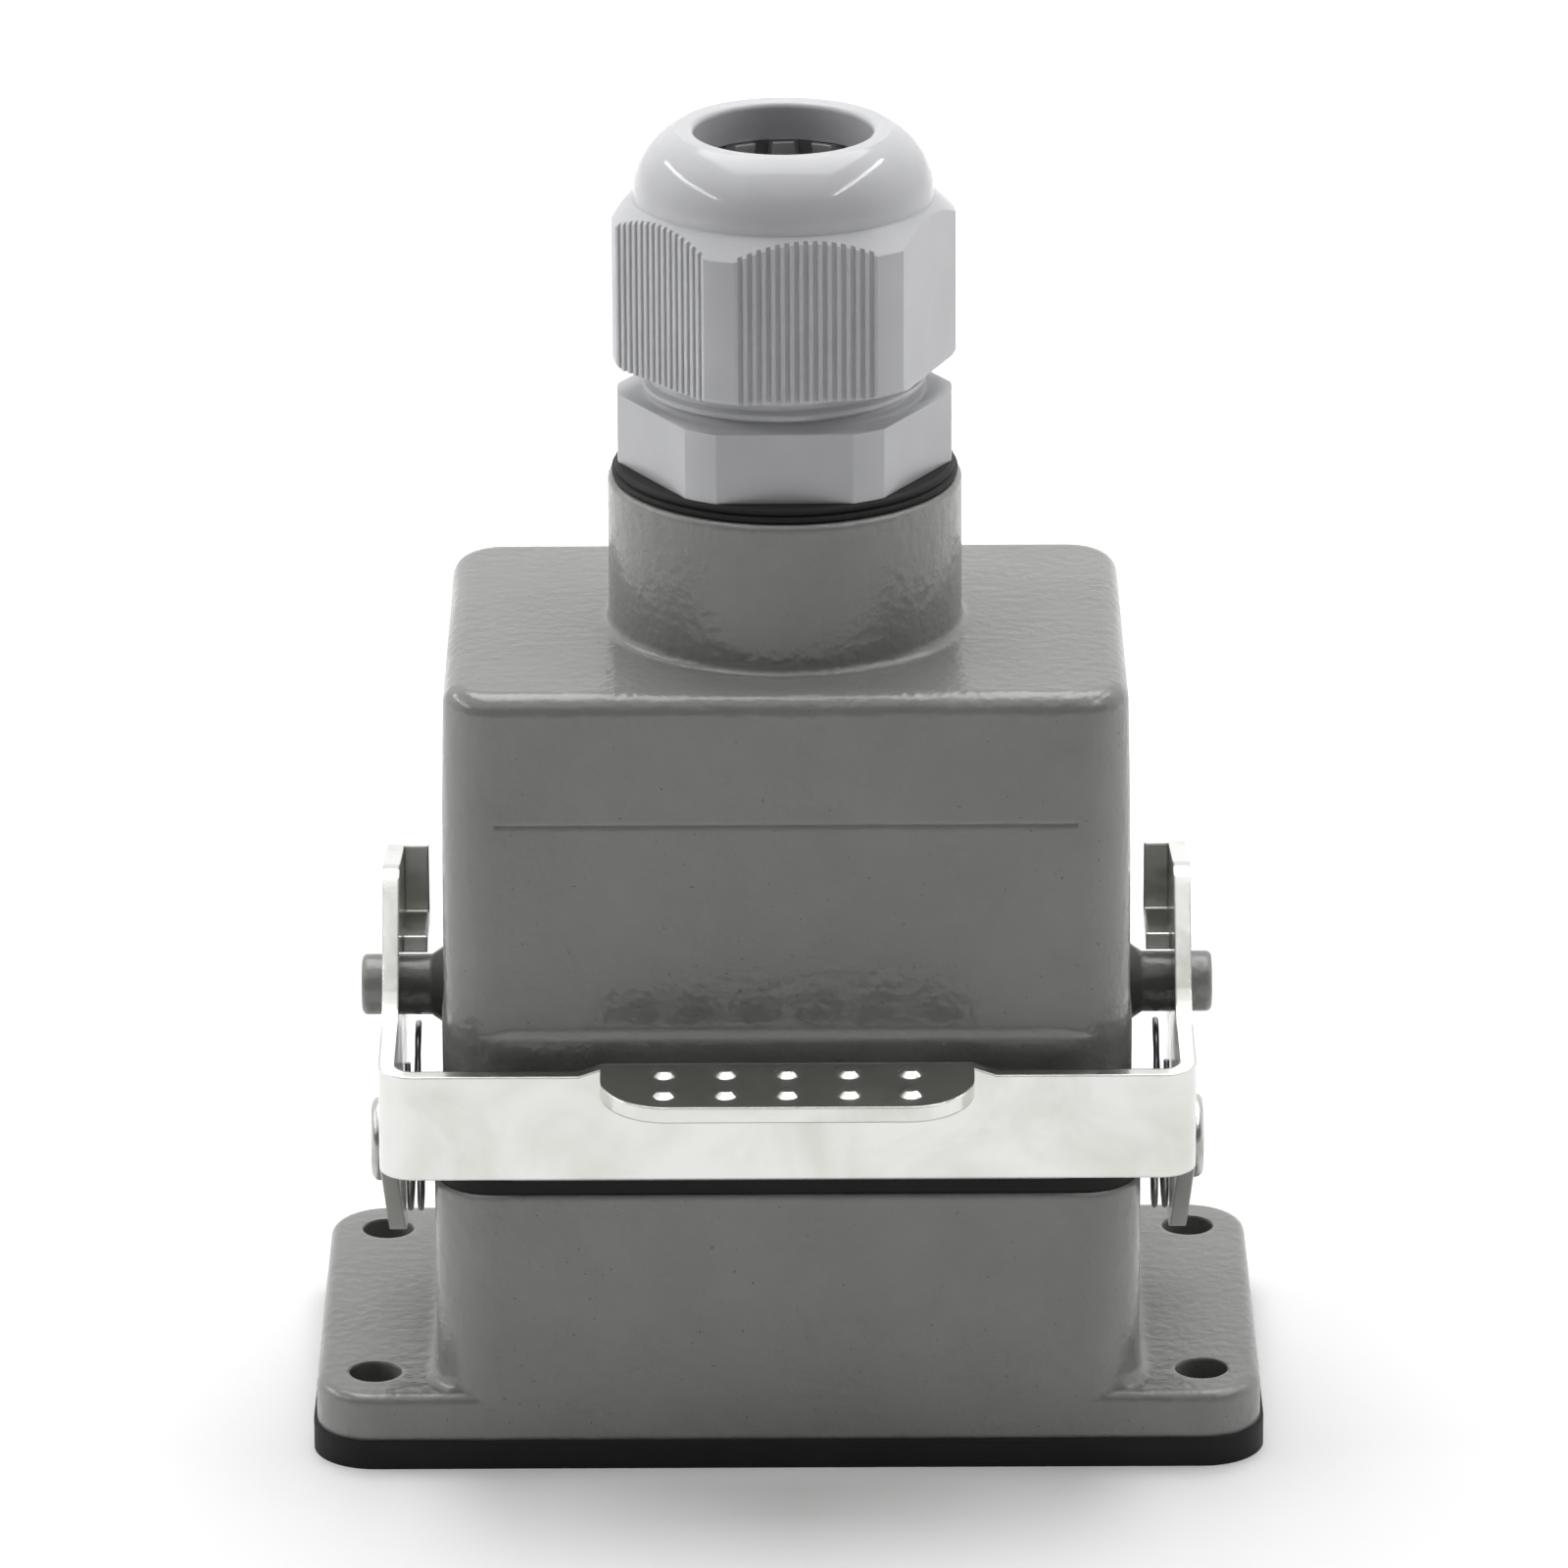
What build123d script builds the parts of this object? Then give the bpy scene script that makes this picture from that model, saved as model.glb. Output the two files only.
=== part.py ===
from build123d import *
import math
import os

# Heavy duty rectangular connector: a top entry hood locked on a bulkhead housing by one lever.
# The origin is the centre of the flange gasket's underside, X runs along the flange, the lever's
# handle is at -Y and the cable leaves along +Z. All lengths are in millimetres, angles in degrees.

# Plate of the contact inserts, which the hood and the housing are built round
INSERT_LENGTH = 50.0
INSERT_DEPTH = 33.4
INSERT_CORNER_RADIUS = 2.0
INSERT_PLATE = 4.0

# Bulkhead housing and its flange
HOUSING_GAP_X = 1.5
HOUSING_GAP_Y = 1.6
HOUSING_WALL = 3.2
HOUSING_RISE = 18.2
HOLE_DIAMETER = 4.5
HOLE_TO_WALL_X = 5.3
HOLE_TO_EDGE_X = 5.0
HOLE_TO_EDGE_Y = 5.5
FLANGE_THICKNESS = 4.0
FLANGE_CORNER_RADIUS = 5.0
FLANGE_EDGE_RADIUS = 0.9
HOUSING_CORNER_RADIUS = 5.0
HOUSING_FOOT_FILLET = 1.3
HOUSING_RIM_RADIUS = 0.4

# Rubber gaskets of the housing
GASKET_THICKNESS = 2.5
GASKET_OVERHANG = 0.3
SEAL_THICKNESS = 1.4
SEAL_INSET = 0.3
SEAL_TONGUE_WIDTH = 1.0
SEAL_TONGUE_HEIGHT = 0.7

# Hood: collar, upper body, cable neck and locking pegs
HOOD_RISE = 42.4
HOOD_GAP_X = 0.9
HOOD_GAP_Y = 1.2
HOOD_WALL = 2.9
HOOD_ROOF = 3.0
HOOD_CORNER_RADIUS = 4.6
HOOD_TOP_RADIUS = 1.8
HOOD_DRAFT_LOW = 0.3
HOOD_DRAFT_HIGH = 1.2
HOOD_CREASE_RISE = 31.2
COLLAR_RISE = 13.2
COLLAR_PROUD = 0.7
COLLAR_END_PROUD = 0.15
COLLAR_CORNER_RADIUS = 6.7
CREASE_LINE_WIDTH = 0.3
NECK_WALL = 3.6
NECK_RISE = 13.0
NECK_ROOT_FILLET = 0.8
NECK_RIM_RADIUS = 0.5
PEG_DIAMETER = 5.2
PEG_PROUD = 2.1
PEG_FLARE = 0.9
PEG_FLARE_LENGTH = 1.3
PEG_EDGE_RADIUS = 0.5

# Locking lever: pressed steel sheet on two rivets
SHEET = 1.4
ARM_GAP = 3.75
LEVER_BEND_RADIUS = 3.0
LEVER_FOOT_RADIUS = 7.8
LEVER_OPEN_ANGLE = 42.0
PIVOT_TO_PEG = 14.15
PIVOT_BELOW_RIM = 3.3
CAM_LIFT = 2.2
SLOT_CLEARANCE = 0.25
SLOT_SWEEP_EXTRA = 8.0
BAR_GAP = 2.4
BAR_BOTTOM_RISE = 6.3
BAR_HEIGHT = 9.2
ARM_FOOT_REACH = 12.6
ARM_TOP_FRONT = 5.0
ARM_TOP_ABOVE_PEG = 12.45
ARM_REAR_REACH = 8.0
ARM_TOP_SLOPE = 2.6
ARM_WEB_RADIUS = 5.0
ARM_TIP_RADIUS = 2.4
ARM_REAR_TIP_RADIUS = 0.6
LIP_DEPTH = 2.1
TAB_LENGTH = 31.0
TAB_DEPTH = 8.2
TAB_TILT = 4.0
TAB_CORNER_RADIUS = 5.6
TAB_BEND_RADIUS = 0.6
TAB_STEP = 1.3
TAB_EAR_RUN = 1.9
DIMPLE_COLUMNS = 5
DIMPLE_PITCH = 5.1
DIMPLE_ROW_SPACING = 3.9
DIMPLE_ROW_OFFSET = 3.6
DIMPLE_DIAMETER = 2.2
DIMPLE_HEIGHT = 0.4

# Pivot rivets and wire springs
RIVET_DIAMETER = 4.2
RIVET_HEAD_DIAMETER = 7.2
RIVET_HEAD_THICKNESS = 1.4
RIVET_INNER_HEAD_DIAMETER = 6.2
RIVET_INNER_HEAD_THICKNESS = 1.0
PIVOT_CLEARANCE = 0.08
HEAD_CLEARANCE = 0.1
WIRE_DIAMETER = 0.5
WIRE_GAP = 0.38
SPRING_PEG_GAP = 0.95
SPRING_FOOT_INSET = 1.4
SPRING_CLEARANCE = 0.3
SPRING_BEND_SHARE = 0.9

# Cable gland
HEX_SHOULDER = 0.9
HEX_CORNER_CUT = 0.78
HEX_HEIGHT = 6.0
ENTRY_THREAD_DIAMETER = 22.5
ENTRY_THREAD_LENGTH = 11.0
THREAD_CLEARANCE = 0.1
GLAND_WALL = 3.75
CLAMP_THREAD_DIAMETER = 23.8
CLAMP_THREAD_LENGTH = 12.4
CLAMP_CUP_DEPTH = 8.0
WASHER_THICKNESS = 1.3
WASHER_INSET = 0.35
NUT_WALL = 1.05
NUT_CORNER_CUT = 0.72
NUT_TURN = 8.0
NUT_GAP = 2.8
NUT_HEIGHT = 14.9
NUT_CHAMFER = 1.3
NUT_FOOT_CHAMFER = 0.3
NUT_BORE_DEPTH = 11.9
DOME_INSET = 0.55
DOME_HEIGHT = 4.9
DOME_SHOULDER_DROP = 0.5
DOME_FULLNESS = 0.66
DOME_RIM_WIDTH = 1.55
NUT_OPENING = 14.9
NUT_OPENING_RADIUS = 0.5
NUT_LIP_THICKNESS = 3.2
NUT_CONE_STEP = 0.7
NUT_CONE_TIP_STEP = 1.25
RIBBED_FLATS = (0, 2, 3, 5)
RIB_COUNT = 15
RIB_PITCH = 0.78
RIB_GROOVE_WIDTH = 0.4
RIB_GROOVE_DEPTH = 0.25
NUT_TRAVEL = 2.25
CUP_WALL = 1.4
CLAW_WALL = 1.4
CLAW_RING_HEIGHT = 2.5
CLAW_FINGERS = 14
CLAW_SLOT_WIDTH = 1.5
CLAW_GAP = 0.2
SEAL_WALL = 2.9
SEAL_SLEEVE_HEIGHT = 6.8
SLEEVE_CLEARANCE = 0.1

# Contact inserts, male in the hood and female in the housing
INSERT_SCREW_INSET_X = 3.0
INSERT_SCREW_INSET_Y = 3.2
WIRE_BLOCK_INSET_X = 7.5
WIRE_BLOCK_INSET_Y = 4.7
SHROUD_INSET_X = 6.0
SHROUD_INSET_Y = 2.2
SHROUD_WALL = 1.2
SHROUD_HEIGHT = 9.0
PLUG_CLEARANCE = 0.5
MALE_PLATE_ABOVE_RIM = 9.9
MALE_BLOCK_HEIGHT = 12.0
FEMALE_PLATE_BELOW_RIM = 16.2
FEMALE_BLOCK_DROP = 6.8
FACE_GAP = 0.5
CONTACT_COLUMNS = 3
CONTACT_PITCH = 10.5
CONTACT_ROW_SPACING = 12.0
PIN_DIAMETER = 2.5
PIN_LENGTH = 11.0
PIN_TIP_RADIUS = 0.9
SOCKET_CLEARANCE = 0.1
SLEEVE_WALL = 0.8
SLEEVE_LENGTH = 12.5
SLEEVE_SETBACK = 1.0
SHANK_DIAMETER = 3.4
CLAMP_BLOCK_WIDTH = 5.4
CLAMP_BLOCK_HEIGHT = 8.0
CLAMP_BLOCK_SETBACK = 1.0
WIRE_HOLE_DIAMETER = 3.0
WIRE_HOLE_DEPTH = 6.0
POCKET_CLEARANCE = 0.1
TERMINAL_SCREW_DIAMETER = 2.6
TERMINAL_SCREW_LENGTH = 3.0
TERMINAL_SCREW_GRIP = 1.0
SCREW_SLOT_WIDTH = 0.6
SCREW_SLOT_DEPTH = 0.8

# Bosses, fixing screws and earth blades
BOSS_MARGIN = 3.1
BOSS_HEIGHT = 11.0
BOSS_CORNER_RADIUS = 2.0
FIXING_SCREW_DIAMETER = 3.0
FIXING_SCREW_HEAD_DIAMETER = 5.2
FIXING_SCREW_HEAD_HEIGHT = 1.9
FIXING_SCREW_GRIP = 6.0
SCREW_CLEARANCE = 0.1
EARTH_SHEET = 0.8
EARTH_WIDTH = 8.0
EARTH_SHROUD_GAP = 0.4
EARTH_BLADE_GAP = 0.3
EARTH_FOOT_LENGTH = 4.3
EARTH_BLADE_TIP_SETBACK = 1.6
EARTH_SCREW_OFFSET = 2.5
EARTH_SCREW_DIAMETER = 2.4
EARTH_SCREW_HEAD_DIAMETER = 3.6
EARTH_SCREW_HEAD_HEIGHT = 1.6
EARTH_SCREW_GRIP = 3.0

# Heights that follow from the stack of pieces
FLANGE_BOTTOM = GASKET_THICKNESS
FLANGE_TOP = FLANGE_BOTTOM + FLANGE_THICKNESS
HOUSING_RIM = FLANGE_TOP + HOUSING_RISE
HOOD_RIM = HOUSING_RIM + SEAL_THICKNESS
COLLAR_TOP = HOOD_RIM + COLLAR_RISE
HOOD_CREASE = HOOD_RIM + HOOD_CREASE_RISE
HOOD_TOP = HOOD_RIM + HOOD_RISE
HOOD_CAVITY_TOP = HOOD_TOP - HOOD_ROOF
NECK_TOP = HOOD_TOP + NECK_RISE
PIVOT_Z = HOUSING_RIM - PIVOT_BELOW_RIM
PEG_Z = PIVOT_Z + PIVOT_TO_PEG

HEX_BOTTOM = NECK_TOP + WASHER_THICKNESS
HEX_TOP = HEX_BOTTOM + HEX_HEIGHT
GLAND_TOP = HEX_TOP + CLAMP_THREAD_LENGTH
CUP_FLOOR = GLAND_TOP - CLAMP_CUP_DEPTH
NUT_BOTTOM = HEX_TOP + NUT_GAP
NUT_HEX_TOP = NUT_BOTTOM + NUT_HEIGHT
NUT_TOP = NUT_HEX_TOP + DOME_HEIGHT
NUT_LIP_BOTTOM = NUT_TOP - NUT_LIP_THICKNESS
NUT_CONE_BOTTOM = NUT_BOTTOM + NUT_BORE_DEPTH
CLAW_BOTTOM = CUP_FLOOR + NUT_TRAVEL + CLAW_GAP

MALE_PLATE_BOTTOM = HOOD_RIM + MALE_PLATE_ABOVE_RIM
MALE_PLATE_TOP = MALE_PLATE_BOTTOM + INSERT_PLATE
MALE_BLOCK_TOP = MALE_PLATE_TOP + MALE_BLOCK_HEIGHT
FEMALE_PLATE_BOTTOM = HOUSING_RIM - FEMALE_PLATE_BELOW_RIM
FEMALE_PLATE_TOP = FEMALE_PLATE_BOTTOM + INSERT_PLATE
FEMALE_BLOCK_BOTTOM = FEMALE_PLATE_BOTTOM - FEMALE_BLOCK_DROP
FEMALE_FACE = MALE_PLATE_BOTTOM - FACE_GAP
SLEEVE_TOP = FEMALE_FACE - SLEEVE_SETBACK

# Widths that follow from the inserts: housing, flange, hood and lever
CAVITY_LENGTH = INSERT_LENGTH + 2 * HOUSING_GAP_X
CAVITY_DEPTH = INSERT_DEPTH + 2 * HOUSING_GAP_Y
CAVITY_CORNER = HOUSING_CORNER_RADIUS - HOUSING_WALL
HOUSING_LENGTH = CAVITY_LENGTH + 2 * HOUSING_WALL
FLANGE_DEPTH = CAVITY_DEPTH + 2 * HOUSING_WALL
HOLE_SPACING_X = HOUSING_LENGTH + 2 * HOLE_TO_WALL_X
HOLE_SPACING_Y = FLANGE_DEPTH - 2 * HOLE_TO_EDGE_Y
FLANGE_LENGTH = HOLE_SPACING_X + 2 * HOLE_TO_EDGE_X
HOOD_CAVITY_LENGTH = INSERT_LENGTH + 2 * HOOD_GAP_X
HOOD_CAVITY_DEPTH = INSERT_DEPTH + 2 * HOOD_GAP_Y
HOOD_CAVITY_CORNER = HOOD_CORNER_RADIUS - HOOD_WALL
HOOD_LENGTH = HOOD_CAVITY_LENGTH + 2 * HOOD_WALL
HOOD_DEPTH = HOOD_CAVITY_DEPTH + 2 * HOOD_WALL
COLLAR_LENGTH = HOOD_LENGTH + 2 * COLLAR_END_PROUD
COLLAR_DEPTH = HOOD_DEPTH + 2 * COLLAR_PROUD
ARM_INNER = COLLAR_LENGTH / 2 + ARM_GAP
ARM_OUTER = ARM_INNER + SHEET
PEG_TIP_X = ARM_OUTER + PEG_PROUD
BAR_REACH = FLANGE_DEPTH / 2 + BAR_GAP + SHEET
ARM_TOP_RISE = PIVOT_TO_PEG + ARM_TOP_ABOVE_PEG
ARM_REAR_TOP_RISE = ARM_TOP_RISE - ARM_TOP_SLOPE
SPRING_RISE = PIVOT_TO_PEG - PEG_DIAMETER / 2 - SPRING_PEG_GAP
SPRING_DROP = LEVER_FOOT_RADIUS - SPRING_FOOT_INSET

# Widths of the gland, from its two threads and its opening
NECK_DIAMETER = ENTRY_THREAD_DIAMETER + 2 * NECK_WALL
WASHER_DIAMETER = NECK_DIAMETER - 2 * WASHER_INSET
GLAND_BORE = ENTRY_THREAD_DIAMETER - 2 * GLAND_WALL
HEX_FLATS = CLAMP_THREAD_DIAMETER + 2 * HEX_SHOULDER
HEX_CORNER_DIAMETER = HEX_FLATS / math.cos(math.radians(30)) - 2 * HEX_CORNER_CUT
NUT_BORE = CLAMP_THREAD_DIAMETER + 2 * THREAD_CLEARANCE
NUT_FLATS = NUT_BORE + 2 * NUT_WALL
NUT_CORNER_DIAMETER = NUT_FLATS / math.cos(math.radians(30)) - 2 * NUT_CORNER_CUT
DOME_DIAMETER = NUT_FLATS - 2 * DOME_INSET
DOME_RIM_DIAMETER = NUT_OPENING + 2 * DOME_RIM_WIDTH
NUT_CONE_DIAMETER = NUT_BORE - 2 * NUT_CONE_STEP
NUT_CONE_TIP_DIAMETER = NUT_OPENING + 2 * NUT_CONE_TIP_STEP
CLAW_DIAMETER = CLAMP_THREAD_DIAMETER - 2 * (CUP_WALL + SLEEVE_CLEARANCE)
SEAL_SLEEVE_BORE = CLAW_DIAMETER - 2 * (CLAW_WALL + SLEEVE_CLEARANCE + SEAL_WALL)

# Widths inside the inserts
INSERT_SCREW_SPACING_X = INSERT_LENGTH - 2 * INSERT_SCREW_INSET_X
INSERT_SCREW_SPACING_Y = INSERT_DEPTH - 2 * INSERT_SCREW_INSET_Y
BOSS_INNER_X = INSERT_SCREW_SPACING_X / 2 - BOSS_MARGIN
BOSS_INNER_Y = INSERT_SCREW_SPACING_Y / 2 - BOSS_MARGIN
WIRE_BLOCK_LENGTH = INSERT_LENGTH - 2 * WIRE_BLOCK_INSET_X
WIRE_BLOCK_DEPTH = INSERT_DEPTH - 2 * WIRE_BLOCK_INSET_Y
SHROUD_LENGTH = INSERT_LENGTH - 2 * SHROUD_INSET_X
SHROUD_DEPTH = INSERT_DEPTH - 2 * SHROUD_INSET_Y
EARTH_BLADE_X = SHROUD_LENGTH / 2 + EARTH_SHROUD_GAP
SLEEVE_DIAMETER = PIN_DIAMETER + 2 * (SOCKET_CLEARANCE + SLEEVE_WALL)
PLUG_LENGTH = SHROUD_LENGTH - 2 * (SHROUD_WALL + PLUG_CLEARANCE)
PLUG_DEPTH = SHROUD_DEPTH - 2 * (SHROUD_WALL + PLUG_CLEARANCE)
FEMALE_BLADE_X = EARTH_BLADE_X + EARTH_SHEET + EARTH_BLADE_GAP
OVERCUT = 1.0
NEAR = 0.01


def rounded_block(length, depth, radius, bottom, top):
    """A block with rounded upright corners, centred on the Z axis."""
    outline = RectangleRounded(length, depth, radius)
    return Pos(0, 0, bottom) * extrude(outline, top - bottom)


def disc(radius, bottom, top, x=0.0, y=0.0):
    """An upright cylinder between two heights."""
    return Pos(x, y, (bottom + top) / 2) * Cylinder(radius, top - bottom)


def turned(profile):
    """A solid turned round the Z axis from (radius, height) corner points."""
    face = make_face(Polyline(*[(r, 0, z) for r, z in profile], close=True))
    return revolve(face, Axis.Z)


def bar_x(radius, start, end, z):
    """A round bar lying along X at the given height."""
    return Pos((start + end) / 2, 0, z) * Rot(0, 90, 0) * Cylinder(radius, abs(end - start))


def bar_y(radius, start, end, x, z):
    """A round bar lying along Y at the given place."""
    return Pos(x, (start + end) / 2, z) * Rot(90, 0, 0) * Cylinder(radius, abs(end - start))


def four_corners(spacing_x, spacing_y):
    """The four places of a rectangular hole pattern."""
    return [(sx * spacing_x / 2, sy * spacing_y / 2) for sx in (-1, 1) for sy in (-1, 1)]


def contact_places():
    """The contacts' places, row by row, with the side that their terminal screw faces."""
    first = -(CONTACT_COLUMNS - 1) / 2
    columns = [(first + i) * CONTACT_PITCH for i in range(CONTACT_COLUMNS)]
    return [(x, side * CONTACT_ROW_SPACING / 2, side) for side in (-1, 1) for x in columns]


def screw_slot(width, x, y, top):
    """The driver slot to cut in the top of an upright screw head."""
    return Pos(x, y, top) * Box(width, SCREW_SLOT_WIDTH, 2 * SCREW_SLOT_DEPTH)


# Bulkhead housing

def corner_bosses(half_length, half_depth, bottom, top):
    """Four square bosses that fill a casting's corners out to its walls."""
    length = half_length - BOSS_INNER_X
    depth = half_depth - BOSS_INNER_Y
    outline = RectangleRounded(length, depth, BOSS_CORNER_RADIUS)
    boss = extrude(outline, top - bottom)
    middle_x = BOSS_INNER_X + length / 2
    middle_y = BOSS_INNER_Y + depth / 2
    places = four_corners(2 * middle_x, 2 * middle_y)
    return [Pos(x, y, bottom) * boss for x, y in places]


def housing_foot():
    """The cast fillet where the housing's walls rise from the flange."""
    margin = 2 * HOUSING_FOOT_FILLET
    half_height = HOUSING_RISE / 2
    plate = rounded_block(FLANGE_LENGTH + margin, FLANGE_DEPTH + 2 * margin, FLANGE_CORNER_RADIUS,
                          FLANGE_TOP - FLANGE_EDGE_RADIUS, FLANGE_TOP)
    wall = rounded_block(HOUSING_LENGTH, FLANGE_DEPTH, HOUSING_CORNER_RADIUS,
                         FLANGE_TOP - FLANGE_EDGE_RADIUS, FLANGE_TOP + half_height)
    blank = plate + wall
    top_faces = blank.faces().filter_by(Axis.Z).sort_by(Axis.Z)
    ledge = [f for f in top_faces if abs(f.center().Z - FLANGE_TOP) < NEAR][0]
    blank = fillet(ledge.inner_wires()[0].edges(), HOUSING_FOOT_FILLET)
    inset = 2 * FLANGE_EDGE_RADIUS
    footprint = rounded_block(FLANGE_LENGTH - inset, FLANGE_DEPTH - inset,
                              FLANGE_CORNER_RADIUS - FLANGE_EDGE_RADIUS,
                              FLANGE_TOP - FLANGE_EDGE_RADIUS, FLANGE_TOP + half_height)
    return blank & footprint


def bulkhead_housing():
    flange = rounded_block(FLANGE_LENGTH, FLANGE_DEPTH, FLANGE_CORNER_RADIUS,
                           FLANGE_BOTTOM, FLANGE_TOP)
    flange = fillet(flange.faces().sort_by(Axis.Z)[-1].edges(), FLANGE_EDGE_RADIUS)
    wall = rounded_block(HOUSING_LENGTH, FLANGE_DEPTH, HOUSING_CORNER_RADIUS,
                         FLANGE_BOTTOM, HOUSING_RIM)
    wall = fillet(wall.faces().sort_by(Axis.Z)[-1].edges(), HOUSING_RIM_RADIUS)
    casting = flange + housing_foot() + wall
    casting -= rounded_block(CAVITY_LENGTH, CAVITY_DEPTH, CAVITY_CORNER,
                             FLANGE_BOTTOM - OVERCUT, HOUSING_RIM + OVERCUT)
    for boss in corner_bosses(CAVITY_LENGTH / 2 + OVERCUT, CAVITY_DEPTH / 2 + OVERCUT,
                              FLANGE_BOTTOM, FEMALE_PLATE_BOTTOM):
        casting += boss
    for x, y in four_corners(HOLE_SPACING_X, HOLE_SPACING_Y):
        casting -= disc(HOLE_DIAMETER / 2, FLANGE_BOTTOM - OVERCUT, FLANGE_TOP + OVERCUT, x, y)
    tapped = FIXING_SCREW_DIAMETER / 2 + SCREW_CLEARANCE
    for x, y in four_corners(INSERT_SCREW_SPACING_X, INSERT_SCREW_SPACING_Y):
        casting -= disc(tapped, FLANGE_BOTTOM - OVERCUT, FEMALE_PLATE_BOTTOM + OVERCUT, x, y)
    casting -= rim_groove()
    for side in (-1, 1):
        inner = side * (CAVITY_LENGTH / 2 - OVERCUT)
        outer = side * (HOUSING_LENGTH / 2 + OVERCUT)
        casting -= bar_x(RIVET_DIAMETER / 2, inner, outer, PIVOT_Z)
    return casting


def tongue_ring(extra, bottom, top):
    """The ring in the middle of the housing's wall, as wide as the seal's tongue plus extra."""
    middle_length = HOUSING_LENGTH - HOUSING_WALL
    middle_depth = FLANGE_DEPTH - HOUSING_WALL
    middle_corner = HOUSING_CORNER_RADIUS - HOUSING_WALL / 2
    width = SEAL_TONGUE_WIDTH + extra
    outer = rounded_block(middle_length + width, middle_depth + width,
                          middle_corner + width / 2, bottom, top)
    inner = rounded_block(middle_length - width, middle_depth - width,
                          middle_corner - width / 2, bottom - OVERCUT, top + OVERCUT)
    return outer - inner


def rim_groove():
    return tongue_ring(SCREW_CLEARANCE, HOUSING_RIM - SEAL_TONGUE_HEIGHT - SCREW_CLEARANCE,
                       HOUSING_RIM + OVERCUT)


def rim_seal():
    """Flat rubber ring on the housing's rim, with a tongue in the rim's groove."""
    length = HOUSING_LENGTH - 2 * SEAL_INSET
    depth = FLANGE_DEPTH - 2 * SEAL_INSET
    outer = rounded_block(length, depth, HOUSING_CORNER_RADIUS - SEAL_INSET,
                          HOUSING_RIM, HOOD_RIM)
    inner = rounded_block(CAVITY_LENGTH, CAVITY_DEPTH, CAVITY_CORNER,
                          HOUSING_RIM - OVERCUT, HOOD_RIM + OVERCUT)
    return outer - inner + tongue_ring(0, HOUSING_RIM - SEAL_TONGUE_HEIGHT, HOOD_RIM)


def flange_gasket():
    extra = 2 * GASKET_OVERHANG
    sheet = rounded_block(FLANGE_LENGTH + extra, FLANGE_DEPTH + extra,
                          FLANGE_CORNER_RADIUS + GASKET_OVERHANG, 0, GASKET_THICKNESS)
    sheet -= rounded_block(CAVITY_LENGTH, CAVITY_DEPTH, CAVITY_CORNER,
                           -OVERCUT, GASKET_THICKNESS + OVERCUT)
    for x, y in four_corners(HOLE_SPACING_X, HOLE_SPACING_Y):
        sheet -= disc(HOLE_DIAMETER / 2, -OVERCUT, GASKET_THICKNESS + OVERCUT, x, y)
    return sheet


# Hood

def hood_upper():
    """The hood's tapered body, drafted a little more above the crease."""
    outline = RectangleRounded(HOOD_LENGTH, HOOD_DEPTH, HOOD_CORNER_RADIUS)
    low_height = HOOD_CREASE - HOOD_RIM
    low = Pos(0, 0, HOOD_RIM) * extrude(outline, low_height, taper=HOOD_DRAFT_LOW)
    pulled_in = 2 * low_height * math.tan(math.radians(HOOD_DRAFT_LOW))
    crease = RectangleRounded(HOOD_LENGTH - pulled_in, HOOD_DEPTH - pulled_in,
                              HOOD_CORNER_RADIUS - pulled_in / 2)
    high_height = HOOD_TOP - HOOD_CREASE
    high = Pos(0, 0, HOOD_CREASE) * extrude(crease, high_height, taper=HOOD_DRAFT_HIGH)
    high = fillet(high.faces().sort_by(Axis.Z)[-1].edges(), HOOD_TOP_RADIUS)
    return low + high


def hood_collar():
    """The band at the hood's rim, proud at front and rear, whose ledge runs out at the corners."""
    collar = rounded_block(COLLAR_LENGTH, COLLAR_DEPTH, COLLAR_CORNER_RADIUS,
                           HOOD_RIM, COLLAR_TOP)
    return chamfer(collar.faces().sort_by(Axis.Z)[-1].edges(), COLLAR_PROUD)


def crease_lines():
    """The fine groove along the crease, on the flat of the front and rear faces."""
    pulled_in = (HOOD_CREASE - HOOD_RIM) * math.tan(math.radians(HOOD_DRAFT_LOW))
    face = HOOD_DEPTH / 2 - pulled_in
    length = HOOD_LENGTH - 2 * HOOD_CORNER_RADIUS
    groove = Rot(45, 0, 0) * Box(length, CREASE_LINE_WIDTH, CREASE_LINE_WIDTH)
    return [Pos(0, side * face, HOOD_CREASE) * groove for side in (-1, 1)]


def cable_neck():
    """The neck, turned with a small fillet at its root and a broken edge at its rim."""
    radius = NECK_DIAMETER / 2
    ledge = radius + 2 * NECK_ROOT_FILLET
    sunk = HOOD_TOP - HOOD_ROOF / 2
    neck = turned([(0, sunk), (ledge, sunk), (ledge, HOOD_TOP), (radius, HOOD_TOP),
                   (radius, NECK_TOP), (0, NECK_TOP)])
    neck = fillet(neck.edges().sort_by(Axis.Z)[-1], NECK_RIM_RADIUS)
    root = [e for e in neck.edges().filter_by(GeomType.CIRCLE)
            if abs(e.center().Z - HOOD_TOP) < NEAR and abs(e.radius - radius) < NEAR]
    return fillet(root, NECK_ROOT_FILLET)


def locking_peg(side):
    """One cast peg on the hood's end wall, flared at its root."""
    radius = PEG_DIAMETER / 2
    wall = COLLAR_LENGTH / 2
    root = wall - HOOD_WALL
    profile = [(0, root), (radius + PEG_FLARE, root), (radius + PEG_FLARE, wall),
               (radius, wall + PEG_FLARE_LENGTH), (radius, PEG_TIP_X), (0, PEG_TIP_X)]
    peg = turned(profile)
    peg = fillet(peg.edges().sort_by(Axis.Z)[-1], PEG_EDGE_RADIUS)
    return Pos(0, 0, PEG_Z) * Rot(0, side * 90, 0) * peg


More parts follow.
